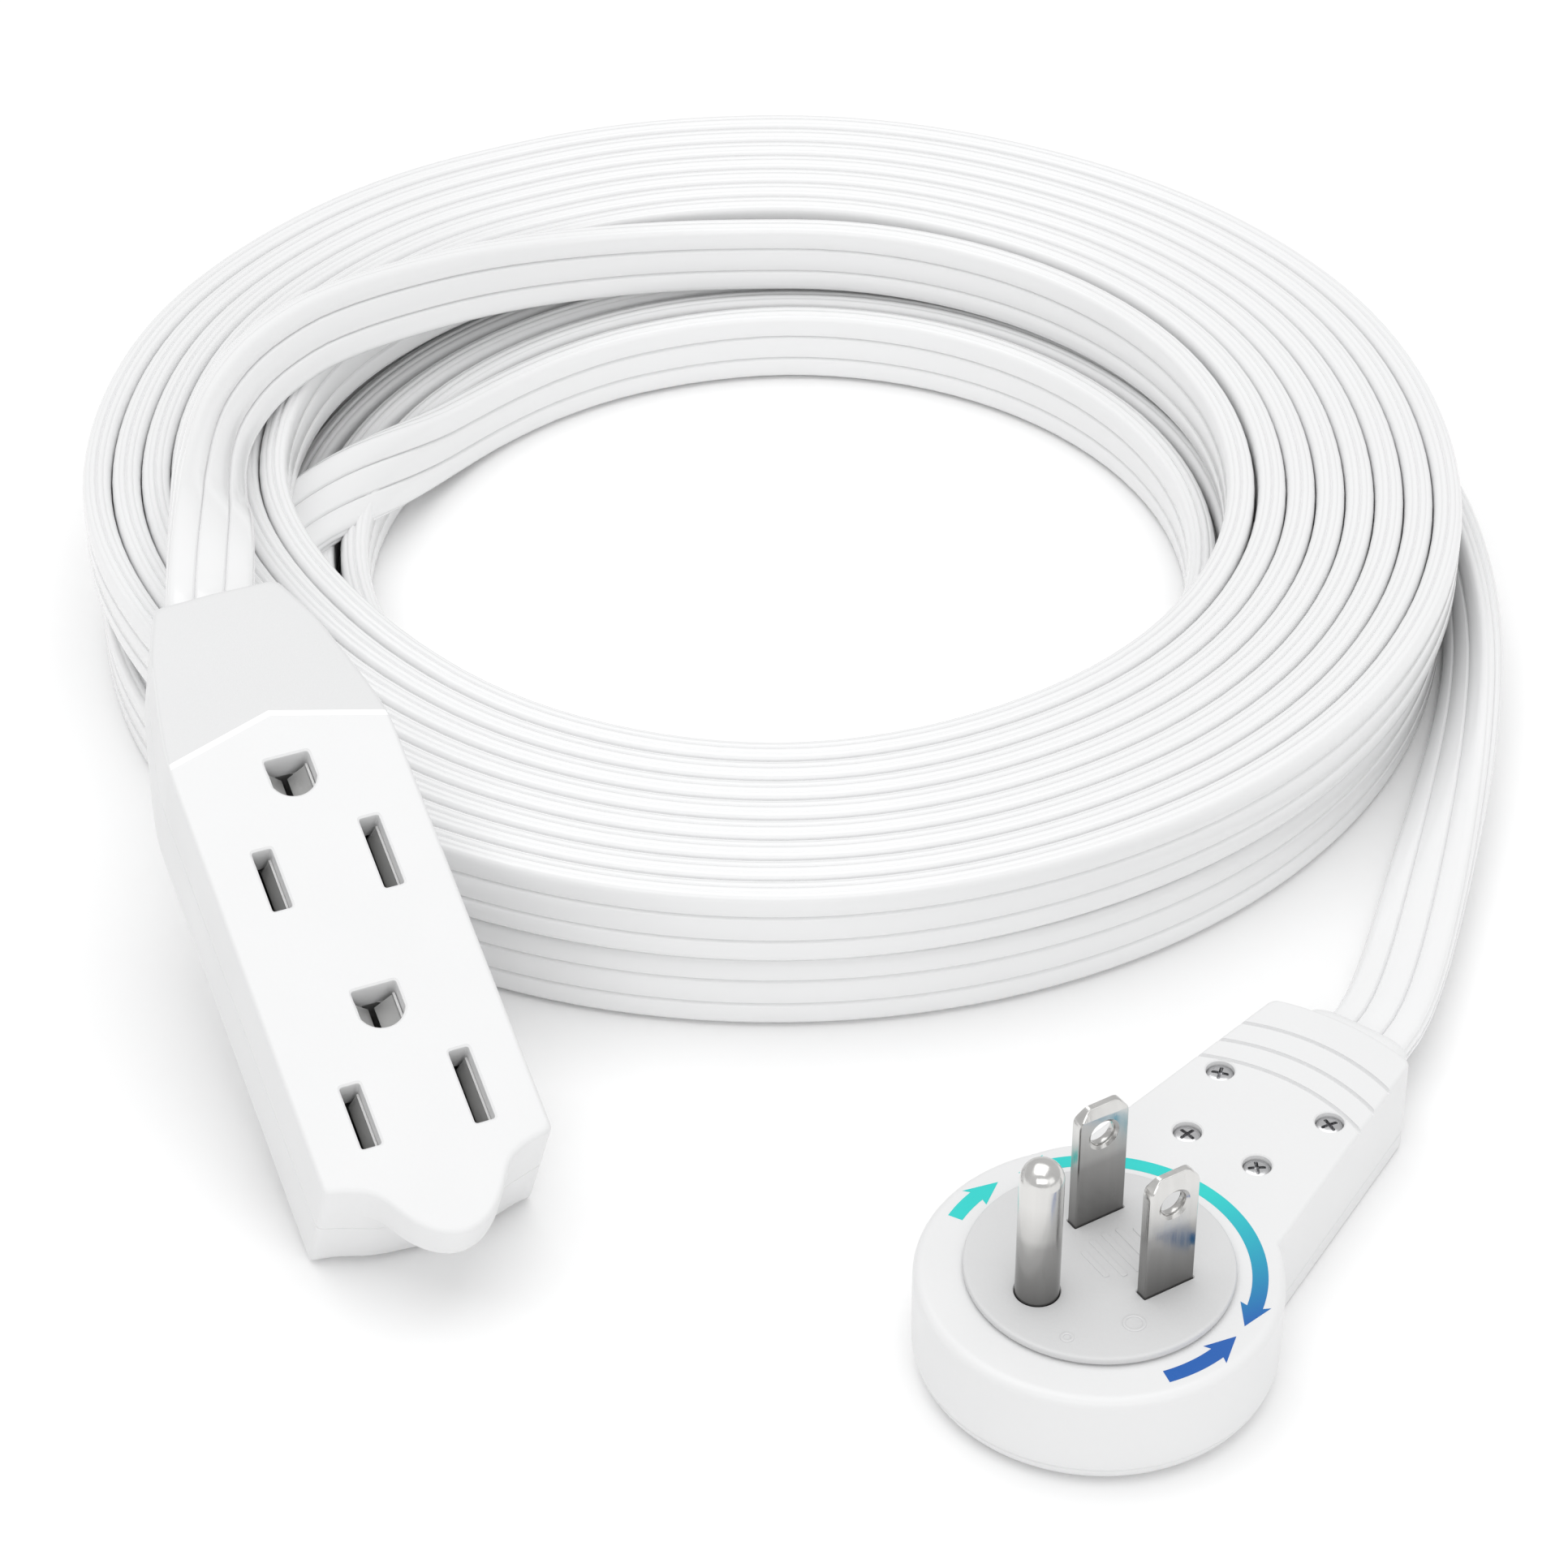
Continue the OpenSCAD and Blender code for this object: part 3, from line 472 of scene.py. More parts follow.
def paint_shade_and_reflection(mat, stops):
    """Paints shade and reflection into a metal's colour by height, darker towards the foot and brighter
    towards the tip: stops are (height in mm, factor).
    """
    nt = mat.node_tree
    bsdf = next(n for n in nt.nodes if n.type == "BSDF_PRINCIPLED")
    coords = next(n for n in nt.nodes if n.type == "TEX_COORD")
    before = bsdf.inputs["Base Color"].links[0].from_socket
    apart = nt.nodes.new("ShaderNodeSeparateXYZ")
    fit = nt.nodes.new("ShaderNodeMapRange")
    low, high = stops[0][0], stops[-1][0]
    fit.inputs["From Min"].default_value, fit.inputs["From Max"].default_value = low * MM, high * MM
    ramp = nt.nodes.new("ShaderNodeValToRGB")
    for z, _ in stops[1:-1]:
        ramp.color_ramp.elements.new((z - low) / (high - low))
    for e, (z, level) in zip(ramp.color_ramp.elements, stops):
        e.position = (z - low) / (high - low)
        e.color = (level, level, level, 1)
    both = nt.nodes.new("ShaderNodeMix")
    both.data_type, both.blend_type = "RGBA", "MULTIPLY"
    both.inputs[0].default_value = 1.0
    nt.links.new(coords.outputs["Object"], apart.inputs[0])
    nt.links.new(apart.outputs["Z"], fit.inputs["Value"])
    nt.links.new(fit.outputs[0], ramp.inputs[0])
    nt.links.new(before, both.inputs[6])
    nt.links.new(ramp.outputs[0], both.inputs[7])
    nt.links.new(both.outputs[2], bsdf.inputs["Base Color"])


# Painted shade darkens the prongs towards the rotor face; painted reflection brightens them towards their
# tips.
paint_shade_and_reflection(M_PRONG, ((13.5, 0.38), (16.5, 0.5), (21.5, 0.74), (22.6, 0.98), (27.0, 1.3), (31.6, 1.35)))


def print_material(name, centre, direction, length):
    """Printing ink whose colour runs from teal to blue across the plug's face."""
    mat = material(name, (0.1, 0.5, 0.6), 0.38, mottle=0.05, grain=0.2)
    nt = mat.node_tree
    bsdf = next(n for n in nt.nodes if n.type == "BSDF_PRINCIPLED")
    coords = next(n for n in nt.nodes if n.type == "TEX_COORD")
    shift = nt.nodes.new("ShaderNodeVectorMath")
    shift.operation = "SUBTRACT"
    shift.inputs[1].default_value = centre
    dot = nt.nodes.new("ShaderNodeVectorMath")
    dot.operation = "DOT_PRODUCT"
    dot.inputs[1].default_value = direction
    fit = nt.nodes.new("ShaderNodeMapRange")
    fit.inputs["From Min"].default_value, fit.inputs["From Max"].default_value = -length, length
    ramp = nt.nodes.new("ShaderNodeValToRGB")
    ramp.color_ramp.elements[0].color = (0.022, 0.62, 0.58, 1)
    ramp.color_ramp.elements[1].color = (0.008, 0.105, 0.42, 1)
    ramp.color_ramp.elements[0].position, ramp.color_ramp.elements[1].position = 0.36, 0.9
    nt.links.new(coords.outputs["Object"], shift.inputs[0])
    nt.links.new(shift.outputs[0], dot.inputs[0])
    nt.links.new(dot.outputs["Value"], fit.inputs["Value"])
    nt.links.new(fit.outputs[0], ramp.inputs[0])
    nt.links.new(ramp.outputs[0], bsdf.inputs["Base Color"])
    return mat


M_PRINT = print_material("arrow_ink", (PLUG_POS[0] * MM, PLUG_POS[1] * MM, 0), (0.45, -0.893, 0), 0.018)

# ---------------------------------------------------------------- cable
finished(cable, Matrix.Identity(4), "cord_set", "cable_jacket", M_CABLE, sharp=60, weighted=False)
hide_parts("cord_coil", "cord_tap_lead", "cord_plug_lead")


# ---------------------------------------------------------------- plug housing
FILLET, NECK_FILLET = 1.15, 0.5
NECK_LINE, NECK_SLOPE, END_ARC_X, END_ARC_R = 14.7, 6 / 51.2, 19.7, 30.0


def plug_outline(d):
    """The plug's plan inside its edge by d: round housing, straight neck sides, curved neck end."""
    r, level, k, end_r = PLUG_R - d, NECK_LINE - d, NECK_SLOPE, END_ARC_R - d
    q = 1 + k * k
    x1 = (level * k + math.sqrt((level * k) ** 2 - q * (level * level - r * r))) / q
    y1 = level - k * x1
    b, c = END_ARC_X + level * k, END_ARC_X ** 2 + level * level - end_r * end_r
    x2 = (b + math.sqrt(b * b - q * c)) / q
    y2 = level - k * x2
    a1, a2 = math.atan2(y1, x1), math.atan2(y2, x2 - END_ARC_X)
    pts = []
    for i in range(121):
        a = a1 + (2 * math.pi - 2 * a1) * i / 120
        pts.append((r * math.cos(a), r * math.sin(a)))
    side = [((x1 + (x2 - x1) * t), -(y1 + (y2 - y1) * t)) for t in (0.06, 0.25, 0.5, 0.75, 0.94)]
    arc = [(END_ARC_X + end_r * math.cos(a), end_r * math.sin(a))
           for a in np.linspace(-a2 * 0.8, a2 * 0.8, 15)]
    corner = rounded([side[-1], (x2, -y2), arc[0]], [0, 0.9, 0], 5)[1:-1]
    pts += side + corner + arc + [(x, -y) for x, y in reversed(corner)] + [(x, -y) for x, y in reversed(side)]
    return pts


OUTER = np.array(plug_outline(0.0))
INNER = np.array(plug_outline(FILLET))


def on_disc(p):
    """1 on the round housing, falling to 0 where its wall runs into the neck."""
    if math.hypot(*p) >= PLUG_R + 0.01:
        return 0.0
    t = max(0.0, min(1.0, (abs(math.degrees(math.atan2(p[1], p[0]))) - 43) / 15))
    return t * t * (3 - 2 * t)


ON_DISC = np.array([on_disc(p) for p in OUTER])


def plug_ring(inset, z):
    """The plan at height z, drawn in by inset, which may differ from point to point, as z may."""
    inset = np.broadcast_to(inset, (len(OUTER),))
    z = np.broadcast_to(z, (len(OUTER),))
    xy = OUTER + (INNER - OUTER) * (inset / FILLET)[:, None]
    return [(x, y, h) for (x, y), h in zip(xy.tolist(), z.tolist())]


# Rounding of the top edge and of the foot, both larger on the round housing than on the neck
TOP_R = NECK_FILLET + (FILLET - NECK_FILLET) * ON_DISC
FOOT_DEPTH, FOOT_HEIGHT = 0.45 + 2.15 * ON_DISC, 0.6 + 2.9 * ON_DISC


def foot_inset(z):
    """How far the side wall curves in towards the floor at height z."""
    t = np.clip((FOOT_HEIGHT - z) / FOOT_HEIGHT, 0, 1)
    return FOOT_DEPTH * (1 - np.sqrt(1 - t * t * 0.985))


def plug_cover():
    """The cover's outside, from the parting line to its top face."""
    rings = [plug_ring(foot_inset(PLUG_BASE_H + 0.1) + 0.13, PLUG_BASE_H + 0.02),
             plug_ring(foot_inset(PLUG_BASE_H + 0.15), PLUG_BASE_H + 0.15)]
    rings += [plug_ring(foot_inset(z), z) for z in (2.8, 3.2, 3.55, 4.2)]
    rings.append(plug_ring(0, 7.0))
    for a in np.linspace(0, math.pi / 2, 9):
        rings.append(plug_ring(TOP_R * (1 - math.cos(a)), PLUG_H - TOP_R * (1 - math.sin(a))))
    rings.append(plug_ring(TOP_R + 0.25, PLUG_H))
    return loft("plug_cover_shell", rings)


cover = plug_cover()
cavity = prism("cut", lambda d: plug_outline(1.7 + d), [(1.0, 0), (PLUG_H - COVER_TOP, 0)])
cavity.data.materials.append(M_GREY)
cover.data.materials.append(M_SHELL)


def screw_recess(x, y):
    """A countersunk well for one screw of the neck."""
    return lathe("cut", [(1.62, PLUG_H - 1.7), (1.62, PLUG_H - 0.14), (1.78, PLUG_H),
                         (2.28, PLUG_H + 0.5)], 40, (x, y))


def groove(x):
    """A round-bottomed line across the neck, curved like its end."""
    rings, centre = [], x + 2.5 - GROOVE_R
    for a in np.linspace(-0.5, 0.5, 41):
        c, s = math.cos(a), math.sin(a)
        ring = []
        for j in range(10):
            b = 2 * math.pi * j / 10
            r = GROOVE_R + 0.3 * math.cos(b)
            ring.append((centre + r * c, r * s, PLUG_H + 0.06 + 0.52 * math.sin(b)))
        rings.append(ring)
    return loft("cut", rings)


window = lathe("cut", [(12.5, 8.0), (12.5, PLUG_H - 0.25), (12.75, PLUG_H), (13.4, PLUG_H + 0.65)], 128)
port = fix_normals(loft("cut", [[(x, u, CORD_Z + v) for u, v in port_outline(6.4, 3.4, 0.35, 6)]
                                for x in (45.2, 52.5)]))
carve(cover, [cavity, window, port])
carve(cover, [screw_recess(x, y) for x, y in SCREW_PLACES])
carve(cover, [fix_normals(groove(x)) for x in GROOVE_PLACES])
finished(cover, ON_PLUG, "cord_set", "white_shell", M_SHELL, M_GREY, sharp=30)
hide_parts("plug_cover")


def plug_base():
    """The base's outside, from the floor to the parting line."""
    rings = [plug_ring(foot_inset(0.0) + 0.25, 0.0)]
    rings += [plug_ring(foot_inset(z), z) for z in (0.0, 0.12, 0.35, 0.7, 1.2, 1.8, PLUG_BASE_H - 0.2)]
    rings.append(plug_ring(foot_inset(PLUG_BASE_H - 0.1) + 0.13, PLUG_BASE_H - 0.02))
    return loft("plug_base_shell", rings)


base = plug_base()
base.data.materials.append(M_SHELL)
hollow = prism("cut", lambda d: plug_outline(2.1 + d), [(1.6, 0), (4.0, 0)])
hollow.data.materials.append(M_GREY)
panel = lathe("cut", [(11.5, -1.0), (11.5, 0.0), (11.25, 0.3)], 96)
panel_2 = prism("cut", rounded_box_outline(19.5, -5.5, 41.5, 5.5, 1.5, 5), [(-1.0, 0), (0.0, 0), (0.3, 0.25)])
carve(base, [hollow, panel, panel_2])
finished(base, ON_PLUG, "cord_set", "white_shell", M_SHELL, M_GREY, sharp=30)
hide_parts("plug_base")


def superellipse(hw, hh, power, n=64):
    """A rounded rectangle of half sizes hw and hh, squarer with a higher power."""
    pts = []
    for j in range(n):
        a = 2 * math.pi * j / n
        c, s = math.cos(a), math.sin(a)
        pts.append((hw * math.copysign(abs(c) ** (2 / power), c),
                    hh * math.copysign(abs(s) ** (2 / power), s)))
    return pts


def collar(name, sections, at):
    """A loft along a line: sections are (distance, half width, half height, power)."""
    rings = [[at(x, u, v) for u, v in superellipse(hw, hh, p)] for x, hw, hh, p in sections]
    return fix_normals(loft(name, rings))


# Strain reliefs: soft domes that close on the cable
plug_collar = collar(
    "plug_strain_relief",
    [(45.5, 6.2, 3.2, 7), (48.5, 6.2, 3.2, 7), (48.55, 6.75, 4.7, 5), (50.3, 6.75, 4.7, 5),
     (51.2, 6.7, 4.6, 4.6), (52.0, 6.55, 4.35, 4.2), (52.7, 6.3, 3.9, 4), (53.3, 5.95, 3.3, 4),
     (53.7, 5.6, 2.7, 4.5), (53.95, 5.35, 2.2, 5.5), (54.0, 5.15, 1.9, 6.5), (53.95, 5.02, 1.76, 8)],
    lambda x, u, v: (x, u, CORD_Z + v))
finished(plug_collar, ON_PLUG, "cord_set", "boot_rubber", M_COLLAR, sharp=50)
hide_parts("plug_boot")

tap_collar = collar(
    "tap_strain_relief",
    [(68.8, 6.1, 2.75, 7), (74.8, 6.1, 2.75, 6.5), (75.5, 6.02, 2.65, 6), (76.0, 5.85, 2.45, 5.5),
     (76.35, 5.6, 2.2, 5.5), (76.5, 5.3, 1.95, 6), (76.45, 5.02, 1.76, 8)],
    lambda y, u, v: (u, y, TAP_MID + v))
finished(tap_collar, ON_TAP, "cord_set", "boot_rubber", M_COLLAR, sharp=50)
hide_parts("tap_boot")


def screw_head(x, y, turn):
    """A low dome with a cross recess, on its shank."""
    top = PLUG_H - 0.5
    head = lathe("screw", [(0.95, 3.0), (1.0, 3.4), (1.0, top - 0.95), (1.2, top - 0.85), (1.5, top - 0.5),
                           (1.52, top - 0.3), (1.45, top - 0.14), (1.2, top - 0.02), (0.8, top + 0.05),
                           (0.35, top + 0.07)], 40)
    cuts = []
    for a in (0, 90):
        c = prism("cut", rounded_box_outline(-1.02, -0.22, 1.02, 0.22, 0.18, 3),
                  [(top - 0.75, 0.12), (top - 0.45, 0.04), (top + 0.4, 0)])
        c.data.transform(spin("Z", a + turn))
        cuts.append(c)
    carve(head, cuts)
    head.data.transform(Matrix.Translation((x, y, 0)))
    return head


screws = joined([screw_head(x, y, t) for (x, y), t in zip(SCREW_PLACES, (20, 63, -12, 41))])
screws.name = "plug_screw_set"
finished(screws, ON_PLUG, "cord_set", "screw_steel", M_STEEL, sharp=35)
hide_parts("plug_screws")


def arrow(name, start, end, heads, radius=16.95, half=0.85, head=1.65, head_deg=10.5):
    """An arc from start to end, in degrees in the shared frame; heads says which ends are pointed."""
    sign = 1 if end > start else -1
    a0 = start + (sign * head_deg if "start" in heads else 0)
    a1 = end - (sign * head_deg if "end" in heads else 0)
    outer, inner = [], []
    if "start" in heads:
        outer += [(radius, start), (radius + head, a0 + sign * 1.2)]
        inner += [(radius - head, a0 + sign * 1.2)]
    for a in np.linspace(a0, a1, max(8, int(abs(a1 - a0) / 2))):
        outer.append((radius + half, a))
        inner.append((radius - half, a))
    if "end" in heads:
        outer += [(radius + head, a1 - sign * 1.2), (radius, end)]
        inner += [(radius - head, a1 - sign * 1.2)]
    plan = [(r * math.cos(math.radians(a)), r * math.sin(math.radians(a))) for r, a in outer + inner[::-1]]
    obj = fix_normals(loft(name, [at_height(plan, PLUG_H - 0.03), at_height(plan, PLUG_H + 0.025)]))
    bm = bmesh.new()
    bm.from_mesh(obj.data)
    bmesh.ops.triangulate(bm, faces=[f for f in bm.faces if len(f.verts) > 4])
    bm.to_mesh(obj.data)
    bm.free()
    place = SCALE @ Matrix.Translation((*PLUG_POS, 0))
    finished(obj, place, "cord_set", "white_shell", M_PRINT, sharp=30)
    return obj


# Printed arrows round the window, as thin films of ink
arrow("arrow_long", 118, -30, ("start", "end"))
arrow("arrow_left", 152, 127, ("end",), head_deg=11)
arrow("arrow_right", -69, -36, ("end",), head_deg=11)


# ---------------------------------------------------------------- rotor
def rotor_face():
    """The raised face and its hub, with holes for the prongs."""
    face, hub, top = 12.5, 10.5, DISC_TOP
    body = lathe("rotor_face", [
        (12.42, hub), (12.42, face + 0.12), (14.2, face + 0.12), (14.38, face + 0.2), (14.45, face + 0.34),
        (14.45, top - 0.26), (14.41, top - 0.13), (14.32, top - 0.04), (14.18, top), (13.9, top)], 144)
    cuts = [prism("cut", rounded_box_outline(BLADE_P - 3.18, s * BLADE_GAP / 2 - 0.78, BLADE_P + 3.18,
                                             s * BLADE_GAP / 2 + 0.78, 0.12, 2),
                  [(8.0, 0), (top - 0.12, 0), (top, -0.12), (top + 0.5, -0.62)]) for s in (-1, 1)]
    cuts.append(lathe("cut", [(2.46, 8.0), (2.46, top - 0.1), (2.56, top), (2.98, top + 0.42)], 48,
                      (BLADE_P - PIN_OFFSET, 0)))
    carve(body, cuts)
    return body


def raised_marks():
    """Low moulded relief on the rotor's face: five plain bars and two small rings."""
    top, marks = DISC_TOP, []
    for x, length in ((-0.6, 4.6), (1.1, 6.4), (2.8, 6.8), (4.5, 6.4), (6.2, 4.8)):
        bar = prism("bar", rounded_box_outline(-length / 2, -0.36, length / 2, 0.36, 0.3, 3),
                    [(top - 0.1, 0), (top + 0.06, 0), (top + 0.11, 0.08)])
        bar.data.transform(Matrix.Translation((x, 0, 0)) @ spin("Z", 90))
        marks.append(bar)
    for cx, cy, r in ((-2.2, -9.4, 1.25), (-9.3, -7.4, 0.75)):
        ring = lathe("ring", [(r, top - 0.1), (r, top + 0.06), (r - 0.08, top + 0.11), (r - 0.28, top + 0.11),
                              (r - 0.36, top + 0.06), (r - 0.36, top - 0.1)], 40, (cx, cy))
        bm = bmesh.new()
        bm.from_mesh(ring.data)
        bmesh.ops.delete(bm, geom=[f for f in bm.faces if len(f.verts) > 4], context="FACES_ONLY")
        bmesh.ops.bridge_loops(bm, edges=[e for e in bm.edges if e.is_boundary])
        bmesh.ops.recalc_face_normals(bm, faces=bm.faces)
        bm.to_mesh(ring.data)
        bm.free()
        marks.append(ring)
    return joined(marks)


disc = rotor_face()
marks = raised_marks()
marks.name = "rotor_relief"
finished(disc, ON_ROTOR, "rotor", "white_rotor", M_DISC, sharp=30)
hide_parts("rotor_disc")
finished(marks, ON_ROTOR, "rotor", "white_rotor", M_DISC, sharp=40)


def blade(name, side, node):
    """A stamped strip with coined edges, a bevelled tip and a dished hole."""
    top, low, w, t = DISC_TOP + BLADE_LENGTH, 7.7, 3.15, 0.75
    tip, edge, bevel = 1.6, 0.16, 1.25

    def plan(d):
        return rounded([(-w + d, low), (w - d, low), (w - d, top - tip),
                        (w - bevel - d * 0.4, top - d), (-w + bevel + d * 0.4, top - d),
                        (-w + d, top - tip)], [0.1, 0.1, 0.5, 0.5, 0.5, 0.5], 4)

    def ring(d, y):
        out = []
        for x, z in plan(d):
            pinch = max(0.0, (z - (top - bevel)) / bevel)
            out.append((x, y * (1 - 0.5 * pinch), z))
        return out

    body = fix_normals(loft(name, [ring(edge, -t), ring(0.03, -t + edge * 0.75), ring(0, -t + edge * 1.3),
                                   ring(0, t - edge * 1.3), ring(0.03, t - edge * 0.75), ring(edge, t)]))
    bm = bmesh.new()
    bm.from_mesh(body.data)
    for z in (top - bevel, top - 2.2):
        bmesh.ops.bisect_plane(bm, geom=bm.verts[:] + bm.edges[:] + bm.faces[:], plane_co=(0, 0, z),
                               plane_no=(0, 0, 1))
    bm.to_mesh(body.data)
    bm.free()
    hole = lathe("cut", [(1.95, -1.2), (1.95, -t), (1.6, -t + 0.22), (1.5, -t + 0.45), (1.5, t - 0.45),
                         (1.6, t - 0.22), (1.95, t), (1.95, 1.2)], 48)
    hole.data.transform(Matrix.Translation((0, 0, top - 4)) @ spin("X", 90))
    carve(body, [hole])
    foot = prism("foot", rounded_box_outline(-w - 0.05, -1.3, w + 0.05, 1.3, 0.3, 3),
                 [(7.5, 0.05), (7.6, 0), (8.2, 0), (8.3, 0.05)])
    foot.data.transform(Matrix.Translation((0, side * 1.3, 0)))
    carve(body, [foot], "UNION")
    body.data.transform(Matrix.Translation((BLADE_P, side * BLADE_GAP / 2, 0)))
    finished(body, ON_ROTOR, "rotor", "prong_metal", M_PRONG, sharp=25)
    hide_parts(node)
    return body


blade("blade_left", 1, "hot_blade")
blade("blade_right", -1, "neutral_blade")


def pin():
    """The round ground prong on its foot, with a domed tip."""
    tip, r = DISC_TOP + PIN_LENGTH, PIN_R
    profile = [(3.2, 7.5), (3.3, 7.6), (3.3, 8.2), (3.2, 8.3), (r, 8.4), (r, 12.0)]
    profile += [(r, z) for z in np.linspace(15, tip - r, 6)]
    profile += [(r * math.cos(a), tip - r + r * math.sin(a)) for a in np.linspace(0.12, 1.5, 14)]
    body = lathe("round_pin", profile, 64, (BLADE_P - PIN_OFFSET, 0))
    finished(body, ON_ROTOR, "rotor", "prong_metal", M_PRONG, sharp=40)
    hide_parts("ground_pin")
    return body


pin()

# ---------------------------------------------------------------- tap
# Front edge of the tap's face, with the pull tab's ogee, from the left corner to the middle
TAB_EDGE = ((-13, 0), (-11.6, -0.35), (-10.2, -0.75), (-8.8, -1.25), (-7.6, -2.05), (-6.6, -3.3),
            (-5.7, -4.75), (-4.6, -6.2), (-3.2, -7.45), (-1.6, -8.3), (0, -8.6))
# The wall under the tab, bowed out a little
WALL_EDGE = ((-13, 0), (-11.6, -0.35), (-10.2, -0.75), (-8.8, -1.2), (-7.6, -1.6), (-6.6, -1.85),
             (-5.7, -2.0), (-4.6, -2.15), (-3.2, -2.25), (-1.6, -2.35), (0, -2.4))
RIDGE_MID_Y, RIDGE_SIDE_Y, END_DROP = 57.0, 53.4, 3.5
RIDGE_SOFT, RIDGE_EDGE = 0.35, 0.36  # half width of the rounded ridge, and just past it
SLOPE = math.atan2(END_DROP, TAP_L - RIDGE_MID_Y)
SKEW = math.atan2(RIDGE_MID_Y - RIDGE_SIDE_Y, TAP_W / 2)


def past_ridge(x, y):
    """Distance past the ridge line, towards the cable end."""
    return math.sin(SKEW) * abs(x) + math.cos(SKEW) * (y - RIDGE_MID_Y)


def tap_outline(d, tab=0.0, bow=1.0):
    """The tap's plan inside its edge by d. tab 1 draws the pull tab, bow the front wall's bulge."""
    w, e = TAP_W / 2 - d, TAP_END_W / 2 - d
    front = []
    for (x, y_tab), (_, y_wall) in zip(TAB_EDGE, WALL_EDGE):
        y = (y_wall + (y_tab - y_wall) * tab) * bow
        slope = 0.45 if abs(x) > 4 else 0.1
        front.append((x * (w / 13.0), y + d * (1 + slope * (1 - abs(x) / 13))))
    front += [(-x, y) for x, y in reversed(front[:-1])]
    front = smooth(front, 3)
    left_corner = rounded([(-w, 6.0), front[0], front[3]], [0, 0.7, 0], 4)[1:-1]
    right_corner = [(-x, y) for x, y in reversed(left_corner)]
    back = rounded(
        [(w, 6.0), (w, 30.0), (w, 54.4), (w - 1.3, 60.9), (e + 2.6, TAP_L - 6.5), (e, TAP_L - d),
         (-e, TAP_L - d), (-e - 2.6, TAP_L - 6.5), (-w + 1.3, 60.9), (-w, 54.4), (-w, 30.0), (-w, 6.0)],
        [0, 0, 3.0, 2.0, 1.5, 1.0, 1.0, 1.5, 2.0, 3.0, 0, 0], 4)
    return left_corner + front[3:-3] + right_corner + back


def tap_cut_lines(obj):
    """Cuts edges where the sloping faces begin, so that they fold there."""
    bm = bmesh.new()
    bm.from_mesh(obj.data)
    bmesh.ops.bisect_plane(bm, geom=bm.verts[:] + bm.edges[:] + bm.faces[:], dist=1e-4,
                           plane_co=(0, 0, 0), plane_no=(1, 0, 0))
    for s in (-1, 1):
        n = Vector((s * math.sin(SKEW), math.cos(SKEW), 0))
        for d in (-RIDGE_SOFT, 0.0, RIDGE_SOFT):
            half = [f for f in bm.faces if s * f.calc_center_bounds().x > 0]
            geom = set(half)
            for f in half:
                geom.update(f.edges)
                geom.update(f.verts)
            bmesh.ops.bisect_plane(bm, geom=list(geom), dist=1e-4,
                                   plane_co=Vector((0, RIDGE_MID_Y, 0)) + n * d, plane_no=n)
    bm.to_mesh(obj.data)
    bm.free()


def tap_slope(obj):
    """Lowers the surface past the ridge towards the tap's middle plane."""
    run, soft = math.tan(SLOPE), RIDGE_SOFT
    for v in obj.data.vertices:
        d = past_ridge(v.co.x, v.co.y)
        if d <= -soft:
            continue
        drop = run * d if d >= soft else run * (d + soft) ** 2 / (4 * soft)
        above = (v.co.z - TAP_MID) / (TAP_T / 2)
        v.co.z -= drop * above
    return obj


def sloped_loft(name, rings):
    """A loft in the tap's frame, with its surface lowered past the ridge."""
    obj = loft(name, rings)
    tap_cut_lines(obj)
    return tap_slope(obj)


def tap_shell(name, levels):
    """One half of the tap: levels are (z, inset, tab, bow)."""
    return sloped_loft(name, [at_height(tap_outline(d, tab, bow), z) for z, d, tab, bow in levels])


def fillet_levels(z, r):
    """(z, inset) pairs over a rounded edge that ends at height z; r is its radius."""
    return [(z - r * (1 - math.sin(a)), r * (1 - math.cos(a)))
            for a in np.linspace(0, math.pi / 2, 6)]


def lip_levels(face, sign):
    """(z, inset) pairs for an opening with a soft lip at height face; sign is 1 on the upper face."""
    return [(face - sign * 6.0, 0), (face - sign * 0.55, 0), (face - sign * 0.16, -0.08),
            (face - sign * 0.02, -0.3), (face + sign * 0.5, -0.42)]


def slot_cutter(x, y, length, face, sign):
    """A blade slot. sign is 1 on the upper face and -1 on the lower."""
    out = rounded_box_outline(x - SLOT_W / 2, y - length / 2, x + SLOT_W / 2, y + length / 2, 0.3, 4)
    return fix_normals(prism("cut", out, lip_levels(face, sign)))


def ground_cutter(y, toward, face, sign):
    """The round-bottomed ground opening, flat towards the side that toward says."""
    def outline_of(d):
        r, flat, half = 2.7 - d, 2.3 - d, 2.55 - d
        arc = [(r * math.cos(a), r * math.sin(a))
               for a in np.linspace(math.pi + 0.335, 2 * math.pi - 0.335, 21)]
        pts = rounded([(-half, 0.4)] + arc + [(half, 0.4), (half, flat), (-half, flat)],
                      [0] * 23 + [max(0.05, 0.35 - d)] * 2, 4)
        return [(px, y + toward * py) for px, py in pts]
    return fix_normals(prism("cut", outline_of, lip_levels(face, sign)))


def outlet_cutters(y, toward, face, sign):
    """The three openings of one outlet."""
    return [slot_cutter(-BLADE_GAP / 2, y, HOT_SLOT_L, face, sign),
            slot_cutter(BLADE_GAP / 2, y, NEUTRAL_SLOT_L, face, sign),
            ground_cutter(y + toward * PIN_OFFSET, toward, face, sign)]


def tap_room(z0, z1):
    """The hollow inside one half of the tap."""
    room = sloped_loft("cut", [at_height(tap_outline(TAP_WALL, 0, 0), z) for z in (z0, z1)])
    room.data.materials.append(M_INNER)
    return room


